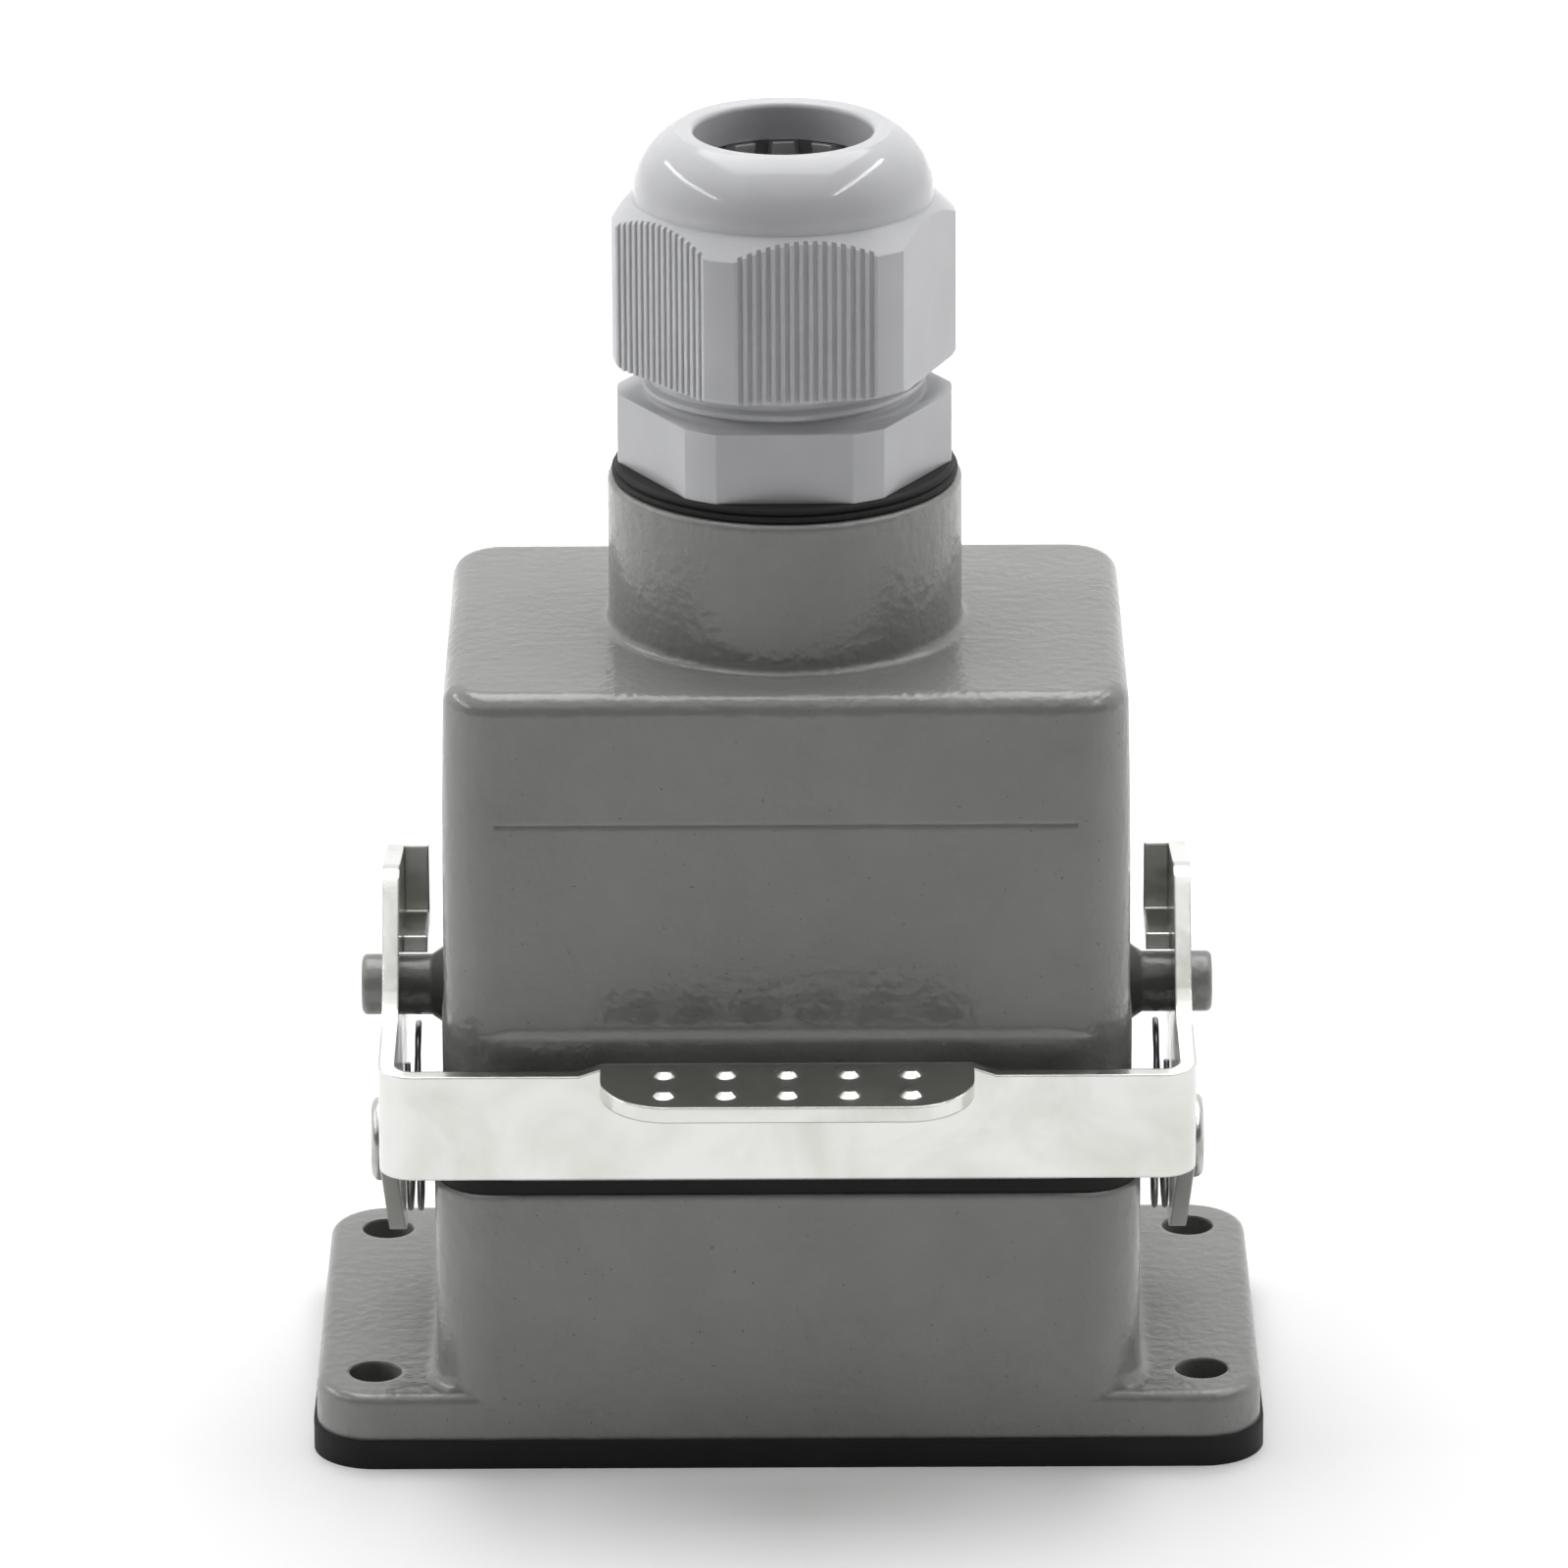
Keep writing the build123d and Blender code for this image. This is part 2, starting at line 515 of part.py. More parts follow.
def hood():
    casting = hood_upper() + hood_collar() + cable_neck()
    for side in (-1, 1):
        casting += locking_peg(side)
    casting -= rounded_block(HOOD_CAVITY_LENGTH, HOOD_CAVITY_DEPTH, HOOD_CAVITY_CORNER,
                             HOOD_RIM - OVERCUT, HOOD_CAVITY_TOP)
    for boss in corner_bosses(HOOD_CAVITY_LENGTH / 2 + OVERCUT, HOOD_CAVITY_DEPTH / 2 + OVERCUT,
                              MALE_PLATE_TOP, MALE_PLATE_TOP + BOSS_HEIGHT):
        casting += boss
    casting -= disc(ENTRY_THREAD_DIAMETER / 2 + THREAD_CLEARANCE, HOOD_CAVITY_TOP - OVERCUT,
                    NECK_TOP + OVERCUT)
    casting -= crease_lines()
    tapped = FIXING_SCREW_DIAMETER / 2 + SCREW_CLEARANCE
    for x, y in four_corners(INSERT_SCREW_SPACING_X, INSERT_SCREW_SPACING_Y):
        casting -= disc(tapped, MALE_PLATE_TOP - OVERCUT,
                        MALE_PLATE_TOP + FIXING_SCREW_GRIP + OVERCUT, x, y)
    return casting


# Locking lever

def slot_centre(angle):
    """Centre of the peg in the lever's side view when the lever is open by this angle."""
    radius = PIVOT_TO_PEG + CAM_LIFT * angle / LEVER_OPEN_ANGLE
    turn = math.radians(angle)
    return (radius * math.sin(turn), radius * math.cos(turn))


def foot_tangent():
    """The point where the arm's lower front edge meets its round foot."""
    reach = BAR_REACH - LEVER_BEND_RADIUS
    distance = math.hypot(reach, BAR_BOTTOM_RISE)
    towards = math.atan2(BAR_BOTTOM_RISE, -reach)
    angle = towards + math.acos(LEVER_FOOT_RADIUS / distance)
    return (LEVER_FOOT_RADIUS * math.cos(angle), LEVER_FOOT_RADIUS * math.sin(angle))


def arm_outline():
    """The arm's side view as (Y, Z) from the pivot: round foot, web to the bar, hook on top."""
    front = -(BAR_REACH - LEVER_BEND_RADIUS)
    bar_top = BAR_BOTTOM_RISE + BAR_HEIGHT
    tangent = foot_tangent()
    foot_low = (0, -LEVER_FOOT_RADIUS)
    foot_rear = (LEVER_FOOT_RADIUS, 0)
    body = Polyline((front, bar_top), (front, BAR_BOTTOM_RISE), tangent)
    foot = ThreePointArc(tangent, foot_low, foot_rear)
    hook = Polyline(foot_rear, (ARM_REAR_REACH, ARM_REAR_TOP_RISE), (-ARM_TOP_FRONT, ARM_TOP_RISE),
                    (-ARM_FOOT_REACH, bar_top), (front, bar_top))
    outline = make_face(body + foot + hook)
    corners = outline.vertices()
    web = corners.sort_by_distance((-ARM_FOOT_REACH, bar_top, 0))[0]
    outline = fillet(web, ARM_WEB_RADIUS)
    front_tip = outline.vertices().sort_by_distance((-ARM_TOP_FRONT, ARM_TOP_RISE, 0))[0]
    outline = fillet(front_tip, ARM_TIP_RADIUS)
    rear_tip = outline.vertices().sort_by_distance((ARM_REAR_REACH, ARM_REAR_TOP_RISE, 0))[0]
    return fillet(rear_tip, ARM_REAR_TIP_RADIUS)


def cam_slot(margin=0.0):
    """The slot that pulls the hood's peg down: it opens to the rear and draws in to the front."""
    end = LEVER_OPEN_ANGLE + SLOT_SWEEP_EXTRA
    path = ThreePointArc(slot_centre(0), slot_centre(end / 2), slot_centre(end))
    return SlotArc(path, PEG_DIAMETER + 2 * (SLOT_CLEARANCE + margin))


def lip_outline():
    """The inward lip as (Y, Z) from the pivot: over the slot, then up the arm's rear edge."""
    end = slot_centre(LEVER_OPEN_ANGLE + SLOT_SWEEP_EXTRA)
    above_slot = make_face(Polyline((0, PIVOT_TO_PEG), (0, ARM_TOP_RISE), (end[0], ARM_TOP_RISE),
                                    end, (0, PIVOT_TO_PEG)))
    rear_middle = ARM_REAR_REACH - SHEET / 2
    rear_edge = Pos(rear_middle, (PIVOT_TO_PEG + ARM_TOP_RISE) / 2) * Rectangle(
        SHEET, ARM_TOP_RISE - PIVOT_TO_PEG)
    lip = (cam_slot(SHEET) & above_slot) + rear_edge
    return (lip & arm_outline()) - cam_slot()


def lever_arm(side):
    """One arm: the flat plate with its cam slot, pivot hole and inward lip."""
    profile = arm_outline() - cam_slot()
    profile -= Circle(RIVET_DIAMETER / 2 + PIVOT_CLEARANCE)
    upright = Plane(origin=(0, 0, PIVOT_Z), x_dir=(0, 1, 0), z_dir=(1, 0, 0))
    plate = Pos(ARM_INNER, 0, 0) * extrude(upright * profile, SHEET)
    lip = Pos(ARM_INNER - LIP_DEPTH, 0, 0) * extrude(upright * lip_outline(), LIP_DEPTH + SHEET / 2)
    arm = plate + lip
    if side < 0:
        arm = mirror(arm, Plane.YZ)
    return arm


def lever_bar():
    """The handle bar and its two bends, as an upright strip."""
    bend_start = BAR_REACH - LEVER_BEND_RADIUS
    strip = RectangleRounded(2 * ARM_OUTER, 2 * BAR_REACH, LEVER_BEND_RADIUS)
    strip -= RectangleRounded(2 * ARM_INNER, 2 * (BAR_REACH - SHEET), LEVER_BEND_RADIUS - SHEET)
    front = Pos(0, -bend_start - BAR_REACH, 0) * Rectangle(3 * ARM_OUTER, 2 * BAR_REACH)
    return Pos(0, 0, PIVOT_Z + BAR_BOTTOM_RISE) * extrude(strip & front, BAR_HEIGHT)


def tab_plate():
    """The tab's flat part with its rounded front corners and raised dimples, from its bend."""
    outline = Pos(0, -TAB_DEPTH / 2) * Rectangle(TAB_LENGTH, TAB_DEPTH)
    front = outline.vertices().group_by(Axis.Y)[0]
    plate = extrude(fillet(front, TAB_CORNER_RADIUS), SHEET)
    first = -(DIMPLE_COLUMNS - 1) / 2
    radius = DIMPLE_DIAMETER / 2
    dimple = Cone(radius, radius / 2, DIMPLE_HEIGHT)
    for column in range(DIMPLE_COLUMNS):
        for row in (-1, 1):
            x = (first + column) * DIMPLE_PITCH
            y = row * DIMPLE_ROW_SPACING / 2 - DIMPLE_ROW_OFFSET
            plate += Pos(x, y, SHEET + DIMPLE_HEIGHT / 2) * dimple
    return plate


def tab_bend():
    """The sheet's bend from the upright bar forward into the tab, round its own centre."""
    outer = TAB_BEND_RADIUS + SHEET
    ring = Circle(outer) - Circle(TAB_BEND_RADIUS)
    sector = make_face(Polyline((0, 0), (2 * outer, 0), (2 * outer, 2 * outer), (0, 2 * outer),
                                (0, 0)))
    turned_sector = Rot(0, 0, TAB_TILT) * sector
    bend = ring & (sector + turned_sector)
    upright = Plane(origin=(-TAB_LENGTH / 2, 0, 0), x_dir=(0, 1, 0), z_dir=(1, 0, 0))
    return extrude(upright * bend, TAB_LENGTH)


def tab_ears():
    """The slopes from the bar's top edge up to the tab's two ends."""
    half = TAB_LENGTH / 2
    bar_top = PIVOT_Z + BAR_BOTTOM_RISE + BAR_HEIGHT
    low = bar_top - TAB_STEP
    rise = TAB_STEP / 2
    ears = []
    for side in (-1, 1):
        slope = Polyline((side * (half - SHEET), low), (side * (half + TAB_EAR_RUN), low),
                         (side * (half + TAB_EAR_RUN), bar_top), (side * half, bar_top + rise),
                         (side * (half - SHEET), bar_top + rise), close=True)
        upright = Plane(origin=(0, -BAR_REACH + SHEET, 0), x_dir=(1, 0, 0), z_dir=(0, -1, 0))
        ears.append(extrude(upright * make_face(slope), SHEET))
    return ears


def thumb_tab():
    """The dimpled tab, bent forward from the bar's top edge."""
    bar_top = PIVOT_Z + BAR_BOTTOM_RISE + BAR_HEIGHT
    centre_z = bar_top + TAB_STEP - SHEET - TAB_BEND_RADIUS
    centre = Pos(0, -BAR_REACH - TAB_BEND_RADIUS, centre_z)
    plate = Rot(TAB_TILT, 0, 0) * Pos(0, 0, TAB_BEND_RADIUS) * tab_plate()
    return centre * (plate + tab_bend())


def locking_lever():
    lever = lever_bar() + lever_arm(-1) + lever_arm(1)
    return lever + thumb_tab() + tab_ears()


def pivot_rivet(side):
    """Rivet through the housing's end wall, with one head inside and one outside the arm."""
    inside = CAVITY_LENGTH / 2
    head_start = ARM_OUTER + HEAD_CLEARANCE
    head_end = head_start + RIVET_HEAD_THICKNESS
    shank = RIVET_DIAMETER / 2
    collar = RIVET_INNER_HEAD_DIAMETER / 2
    head = RIVET_HEAD_DIAMETER / 2
    profile = [(0, inside - RIVET_INNER_HEAD_THICKNESS),
               (collar, inside - RIVET_INNER_HEAD_THICKNESS), (collar, inside), (shank, inside),
               (shank, head_start), (head, head_start), (head, head_end), (0, head_end)]
    rivet = turned(profile)
    crown = rivet.edges().sort_by(Axis.Z)[-1]
    rivet = fillet(crown, RIVET_HEAD_THICKNESS / 2)
    return Pos(0, 0, PIVOT_Z) * Rot(0, side * 90, 0) * rivet


def lever_spring(side):
    """Wire spring of two long turns round the rivet, lying against the arm's inner face."""
    radius = WIRE_DIAMETER / 2
    half_width = RIVET_DIAMETER / 2 + SPRING_CLEARANCE + radius
    outer = ARM_INNER - HEAD_CLEARANCE - radius
    inner = outer - WIRE_DIAMETER - WIRE_GAP
    top = SPRING_RISE - radius
    bottom = -SPRING_DROP + radius
    bend = half_width * SPRING_BEND_SHARE
    route = [(outer, -half_width, top - bend), (outer, -half_width, bottom),
             (outer, half_width, bottom), (inner, half_width, top),
             (inner, -half_width, top), (inner, -half_width, bottom),
             (inner, half_width, bottom), (inner, half_width, top - 3 * bend)]
    path = FilletPolyline(*route, radius=bend)
    section = Plane(origin=path @ 0, z_dir=path % 0) * Circle(radius)
    spring = Pos(0, 0, PIVOT_Z) * sweep(section, path)
    if side < 0:
        spring = mirror(spring, Plane.YZ)
    return spring


# Cable gland

def gland_body():
    """Nylon body: entry thread, hexagon with turned corners, clamping thread and cup."""
    entry = ENTRY_THREAD_DIAMETER / 2
    corner = HEX_CORNER_DIAMETER / 2
    clamp = CLAMP_THREAD_DIAMETER / 2
    entry_bottom = HEX_BOTTOM - WASHER_THICKNESS - ENTRY_THREAD_LENGTH
    prism = Pos(0, 0, HEX_BOTTOM) * extrude(
        RegularPolygon(HEX_FLATS / 2, 6, major_radius=False), HEX_HEIGHT)
    body = prism & disc(corner, HEX_BOTTOM, HEX_TOP)
    body += disc(entry, entry_bottom, HEX_BOTTOM)
    body += disc(clamp, HEX_TOP, GLAND_TOP)
    body -= disc(GLAND_BORE / 2, entry_bottom - OVERCUT, CUP_FLOOR + OVERCUT)
    cup = CLAW_DIAMETER / 2 + SLEEVE_CLEARANCE
    return body - disc(cup, CUP_FLOOR, GLAND_TOP + OVERCUT)


def gland_gasket():
    """Rubber washer with a groove round its edge, so that it shows as two thin rings."""
    outer = WASHER_DIAMETER / 2
    inner = ENTRY_THREAD_DIAMETER / 2 + THREAD_CLEARANCE
    step = WASHER_THICKNESS / 5
    return turned([(inner, NECK_TOP), (outer - step, NECK_TOP), (outer, NECK_TOP + step),
                   (outer, NECK_TOP + 2 * step), (outer - 2 * step, NECK_TOP + 2.5 * step),
                   (outer - step, NECK_TOP + 3 * step), (outer - step, NECK_TOP + 4 * step),
                   (outer - 2 * step, HEX_BOTTOM), (inner, HEX_BOTTOM)])


def nut_rib_grooves():
    """Fine upright grooves on four of the nut's flats; two opposite ones stay plain."""
    grooves = []
    first = -(RIB_COUNT - 1) / 2
    for face in RIBBED_FLATS:
        for rib in range(RIB_COUNT):
            offset = (first + rib) * RIB_PITCH
            groove = Box(RIB_GROOVE_WIDTH, 2 * RIB_GROOVE_DEPTH, NUT_HEIGHT + 2 * OVERCUT)
            place = Pos(offset, -NUT_FLATS / 2, NUT_BOTTOM + NUT_HEIGHT / 2)
            grooves.append(Rot(0, 0, NUT_TURN + 60 * face) * place * groove)
    return grooves


def nut_dome():
    """The dome above the hexagon, one full curve up to the flat rim."""
    outer = DOME_DIAMETER / 2
    rim = DOME_RIM_DIAMETER / 2
    base = NUT_HEX_TOP - NUT_CHAMFER
    shoulder = NUT_HEX_TOP - DOME_SHOULDER_DROP
    bulge = (rim + (outer - rim) * DOME_FULLNESS,
             shoulder + (NUT_TOP - shoulder) * DOME_FULLNESS)
    side = Polyline((0, 0, base), (outer, 0, base), (outer, 0, shoulder))
    crown = ThreePointArc((outer, 0, shoulder), (bulge[0], 0, bulge[1]), (rim, 0, NUT_TOP))
    lid = Polyline((rim, 0, NUT_TOP), (0, 0, NUT_TOP), (0, 0, base))
    return revolve(make_face(side + crown + lid), Axis.Z)


def gland_nut():
    corner = NUT_CORNER_DIAMETER / 2
    flat = NUT_FLATS / 2
    prism = Pos(0, 0, NUT_BOTTOM) * Rot(0, 0, NUT_TURN) * extrude(
        RegularPolygon(flat, 6, major_radius=False), NUT_HEIGHT)
    prism -= nut_rib_grooves()
    turned_hex = turned([(0, NUT_BOTTOM), (corner - NUT_FOOT_CHAMFER, NUT_BOTTOM),
                         (corner, NUT_BOTTOM + NUT_FOOT_CHAMFER),
                         (corner, NUT_HEX_TOP - NUT_CHAMFER - (corner - flat)),
                         (flat - NUT_CHAMFER, NUT_HEX_TOP), (0, NUT_HEX_TOP)])
    nut = (prism & turned_hex) + nut_dome()
    bore = NUT_BORE / 2
    opening = NUT_OPENING / 2
    nut -= turned([(0, NUT_BOTTOM - OVERCUT), (bore, NUT_BOTTOM - OVERCUT),
                   (bore, NUT_CONE_BOTTOM), (NUT_CONE_DIAMETER / 2, NUT_CONE_BOTTOM),
                   (NUT_CONE_TIP_DIAMETER / 2, NUT_LIP_BOTTOM), (opening, NUT_LIP_BOTTOM),
                   (opening, NUT_TOP + OVERCUT), (0, NUT_TOP + OVERCUT)])
    mouth = [e for e in nut.edges().filter_by(GeomType.CIRCLE)
             if abs(e.center().Z - NUT_TOP) < NEAR and abs(e.radius - opening) < NEAR]
    return fillet(mouth, NUT_OPENING_RADIUS)


def cone_height(radius):
    """The height at which the nut's inner cone has this radius."""
    run = (NUT_CONE_DIAMETER - NUT_CONE_TIP_DIAMETER) / 2
    rise = NUT_LIP_BOTTOM - NUT_CONE_BOTTOM
    return NUT_CONE_BOTTOM + (NUT_CONE_DIAMETER / 2 - radius) * rise / run


def claw_profile(outset):
    """The claw's outer line moved inwards by outset, as (radius, height) points."""
    side = CLAW_DIAMETER / 2 - outset
    tip_height = NUT_LIP_BOTTOM - CLAW_GAP
    shoulder = cone_height(CLAW_DIAMETER / 2 + CLAW_GAP)
    rise = NUT_LIP_BOTTOM - NUT_CONE_BOTTOM
    run = (NUT_CONE_DIAMETER - NUT_CONE_TIP_DIAMETER) / 2
    tip = side - (tip_height - shoulder) * run / rise
    return [(side, shoulder), (tip, tip_height)]


def gland_claw():
    """Slotted nylon claw: a plain ring with fingers that lean in under the nut's cone."""
    outside = claw_profile(0)
    inside = claw_profile(CLAW_WALL)
    outer = CLAW_DIAMETER / 2
    claw = turned([(outer - CLAW_WALL, CLAW_BOTTOM), (outer, CLAW_BOTTOM)] + outside + inside[::-1])
    slot_bottom = CLAW_BOTTOM + CLAW_RING_HEIGHT
    slot_height = NUT_TOP - slot_bottom
    slot = Pos(outer, 0, slot_bottom + slot_height / 2) * Box(
        2 * CLAW_WALL + outer, CLAW_SLOT_WIDTH, slot_height)
    step = 360 / CLAW_FINGERS
    return claw - [Rot(0, 0, step * i) * slot for i in range(CLAW_FINGERS)]


def gland_seal():
    """Rubber sleeve that fills the claw and grips the cable."""
    inside = claw_profile(CLAW_WALL + SLEEVE_CLEARANCE)
    outer, shoulder = inside[0]
    tip, tip_height = inside[1]
    bottom = CLAW_BOTTOM
    bore = SEAL_SLEEVE_BORE / 2
    top = bottom + SEAL_SLEEVE_HEIGHT
    profile = [(bore, bottom), (outer, bottom), (outer, min(shoulder, top))]
    if top > shoulder:
        share = (top - shoulder) / (tip_height - shoulder)
        profile.append((outer + (tip - outer) * share, top))
    profile.append((bore, top))
    return turned(profile)


# Contact inserts

def clamp_pocket(x, y, side, block_bottom, mouth):
    """The square pocket from a clamping block out to the mouth, and the way in for its screw."""
    width = CLAMP_BLOCK_WIDTH + 2 * POCKET_CLEARANCE
    block_top = block_bottom + CLAMP_BLOCK_HEIGHT
    bottom = min(block_bottom, mouth)
    top = max(block_top, mouth)
    pocket = Pos(x, y, (bottom + top) / 2) * Box(width, width, top - bottom)
    reach = side * (WIRE_BLOCK_DEPTH / 2 + OVERCUT)
    access = bar_y(TERMINAL_SCREW_DIAMETER / 2 + POCKET_CLEARANCE, y, reach, x,
                   (block_bottom + block_top) / 2)
    return [pocket, access]


def insert_plate(bottom):
    plate = rounded_block(INSERT_LENGTH, INSERT_DEPTH, INSERT_CORNER_RADIUS,
                          bottom, bottom + INSERT_PLATE)
    hole = FIXING_SCREW_DIAMETER / 2 + SCREW_CLEARANCE
    for x, y in four_corners(INSERT_SCREW_SPACING_X, INSERT_SCREW_SPACING_Y):
        plate -= disc(hole, bottom - OVERCUT, bottom + INSERT_PLATE + OVERCUT, x, y)
    return plate


def male_terminal_block():
    """The rear moulding of the pin insert, which holds the clamping blocks."""
    block_bottom = MALE_BLOCK_TOP - CLAMP_BLOCK_SETBACK - CLAMP_BLOCK_HEIGHT
    body = rounded_block(WIRE_BLOCK_LENGTH, WIRE_BLOCK_DEPTH, INSERT_CORNER_RADIUS,
                         MALE_PLATE_TOP, MALE_BLOCK_TOP)
    for x, y, side in contact_places():
        body -= disc(SHANK_DIAMETER / 2 + POCKET_CLEARANCE, MALE_PLATE_TOP - OVERCUT,
                     block_bottom + OVERCUT, x, y)
        body -= clamp_pocket(x, y, side, block_bottom, MALE_BLOCK_TOP + OVERCUT)
    return body


def male_insert():
    """Moulded plate that carries the pins, with a shroud round them."""
    body = insert_plate(MALE_PLATE_BOTTOM)
    rim = MALE_PLATE_BOTTOM - SHROUD_HEIGHT
    body += rounded_block(SHROUD_LENGTH, SHROUD_DEPTH, INSERT_CORNER_RADIUS,
                          rim, MALE_PLATE_BOTTOM)
    body -= rounded_block(SHROUD_LENGTH - 2 * SHROUD_WALL, SHROUD_DEPTH - 2 * SHROUD_WALL,
                          INSERT_CORNER_RADIUS - SHROUD_WALL, rim - OVERCUT, MALE_PLATE_BOTTOM)
    for x, y, _ in contact_places():
        body -= disc(SHANK_DIAMETER / 2 + POCKET_CLEARANCE, MALE_PLATE_BOTTOM - OVERCUT,
                     MALE_PLATE_TOP + OVERCUT, x, y)
    for side in (-1, 1):
        body -= earth_slot(side, EARTH_BLADE_X, MALE_PLATE_BOTTOM)
        body -= earth_screw_hole(side, EARTH_BLADE_X, MALE_PLATE_BOTTOM)
    return body


def female_terminal_block():
    """The rear moulding of the socket insert, which holds the clamping blocks."""
    block_bottom = FEMALE_BLOCK_BOTTOM + CLAMP_BLOCK_SETBACK
    body = rounded_block(WIRE_BLOCK_LENGTH, WIRE_BLOCK_DEPTH, INSERT_CORNER_RADIUS,
                         FEMALE_BLOCK_BOTTOM, FEMALE_PLATE_BOTTOM)
    for x, y, side in contact_places():
        body -= clamp_pocket(x, y, side, block_bottom, FEMALE_BLOCK_BOTTOM - OVERCUT)
    return body


def female_insert():
    """Moulded plate that carries the sockets; its block fits inside the male shroud."""
    block_bottom = FEMALE_BLOCK_BOTTOM + CLAMP_BLOCK_SETBACK
    block_top = block_bottom + CLAMP_BLOCK_HEIGHT
    body = insert_plate(FEMALE_PLATE_BOTTOM)
    body += rounded_block(PLUG_LENGTH, PLUG_DEPTH, INSERT_CORNER_RADIUS,
                          FEMALE_PLATE_BOTTOM, FEMALE_FACE)
    bore = SLEEVE_DIAMETER / 2 + POCKET_CLEARANCE
    guard = PIN_DIAMETER / 2 + SLEEVE_CLEARANCE + SOCKET_CLEARANCE
    for x, y, side in contact_places():
        body -= disc(guard, SLEEVE_TOP, FEMALE_FACE + OVERCUT, x, y)
        body -= disc(bore, block_top - OVERCUT, SLEEVE_TOP, x, y)
        body -= clamp_pocket(x, y, side, block_bottom, FEMALE_BLOCK_BOTTOM - OVERCUT)
    for side in (-1, 1):
        body -= earth_slot(side, FEMALE_BLADE_X, FEMALE_PLATE_BOTTOM)
        body -= earth_screw_hole(side, FEMALE_BLADE_X, FEMALE_PLATE_BOTTOM)
    return body


def clamp_block(x, y, side, bottom, mouth_up):
    """A contact's square clamping block with its wire hole and threaded screw hole."""
    top = bottom + CLAMP_BLOCK_HEIGHT
    middle = (bottom + top) / 2
    block = Pos(x, y, middle) * Box(CLAMP_BLOCK_WIDTH, CLAMP_BLOCK_WIDTH, CLAMP_BLOCK_HEIGHT)
    if mouth_up:
        block -= disc(WIRE_HOLE_DIAMETER / 2, top - WIRE_HOLE_DEPTH, top + OVERCUT, x, y)
    else:
        block -= disc(WIRE_HOLE_DIAMETER / 2, bottom - OVERCUT, bottom + WIRE_HOLE_DEPTH, x, y)
    face = y + side * (CLAMP_BLOCK_WIDTH / 2 + OVERCUT)
    return block - bar_y(TERMINAL_SCREW_DIAMETER / 2 + THREAD_CLEARANCE, y, face, x, middle)


def male_contact(x, y, side):
    block_bottom = MALE_BLOCK_TOP - CLAMP_BLOCK_SETBACK - CLAMP_BLOCK_HEIGHT
    tip = MALE_PLATE_BOTTOM - PIN_LENGTH
    pin = disc(PIN_DIAMETER / 2, tip, MALE_PLATE_BOTTOM, x, y)
    pin = fillet(pin.edges().sort_by(Axis.Z)[0], PIN_TIP_RADIUS)
    shank = disc(SHANK_DIAMETER / 2, MALE_PLATE_BOTTOM, block_bottom, x, y)
    return pin + shank + clamp_block(x, y, side, block_bottom, True)


def female_contact(x, y, side):
    block_bottom = FEMALE_BLOCK_BOTTOM + CLAMP_BLOCK_SETBACK
    block_top = block_bottom + CLAMP_BLOCK_HEIGHT
    sleeve = disc(SLEEVE_DIAMETER / 2, block_top, SLEEVE_TOP, x, y)
    sleeve -= disc(PIN_DIAMETER / 2 + SOCKET_CLEARANCE, SLEEVE_TOP - SLEEVE_LENGTH,
                   SLEEVE_TOP + OVERCUT, x, y)
    return sleeve + clamp_block(x, y, side, block_bottom, False)


def terminal_screws(bottom):
    """Grub screws with a driver slot, one for each clamping block."""
    middle = bottom + CLAMP_BLOCK_HEIGHT / 2
    screws = []
    for x, y, side in contact_places():
        face = y + side * CLAMP_BLOCK_WIDTH / 2
        start = face - side * TERMINAL_SCREW_GRIP
        end = start + side * TERMINAL_SCREW_LENGTH
        screw = bar_y(TERMINAL_SCREW_DIAMETER / 2, start, end, x, middle)
        screws.append(screw - Pos(x, end, middle) * Box(
            TERMINAL_SCREW_DIAMETER, 2 * SCREW_SLOT_DEPTH, SCREW_SLOT_WIDTH))
    return screws


def fixing_screws(head_bottom, points_up):
    """Four insert screws, heads on the mating side, shanks in the casting's bosses."""
    screws = []
    length = INSERT_PLATE + FIXING_SCREW_GRIP
    head = FIXING_SCREW_HEAD_DIAMETER / 2
    shank = FIXING_SCREW_DIAMETER / 2
    for x, y in four_corners(INSERT_SCREW_SPACING_X, INSERT_SCREW_SPACING_Y):
        screw = disc(head, 0, FIXING_SCREW_HEAD_HEIGHT) + disc(shank, -length, 0)
        screw -= screw_slot(2 * head, 0, 0, FIXING_SCREW_HEAD_HEIGHT)
        turn = 180 if points_up else 0
        screws.append(Pos(x, y, head_bottom) * Rot(turn, 0, 0) * screw)
    return screws


# Earth blades

def earth_slot(side, blade_x, bottom):
    """The slot in an insert's plate that an earth blade passes through."""
    middle = side * (blade_x + EARTH_SHEET / 2)
    return Pos(middle, 0, bottom + INSERT_PLATE / 2) * Box(
        EARTH_SHEET + 2 * POCKET_CLEARANCE, EARTH_WIDTH + 2 * POCKET_CLEARANCE,
        INSERT_PLATE + 2 * OVERCUT)


def earth_screw_hole(side, blade_x, bottom):
    """The hole for an earth screw in an insert's plate."""
    radius = EARTH_SCREW_DIAMETER / 2 + THREAD_CLEARANCE
    return disc(radius, bottom - OVERCUT, bottom + INSERT_PLATE + OVERCUT,
                side * (blade_x + EARTH_SCREW_OFFSET), 0)


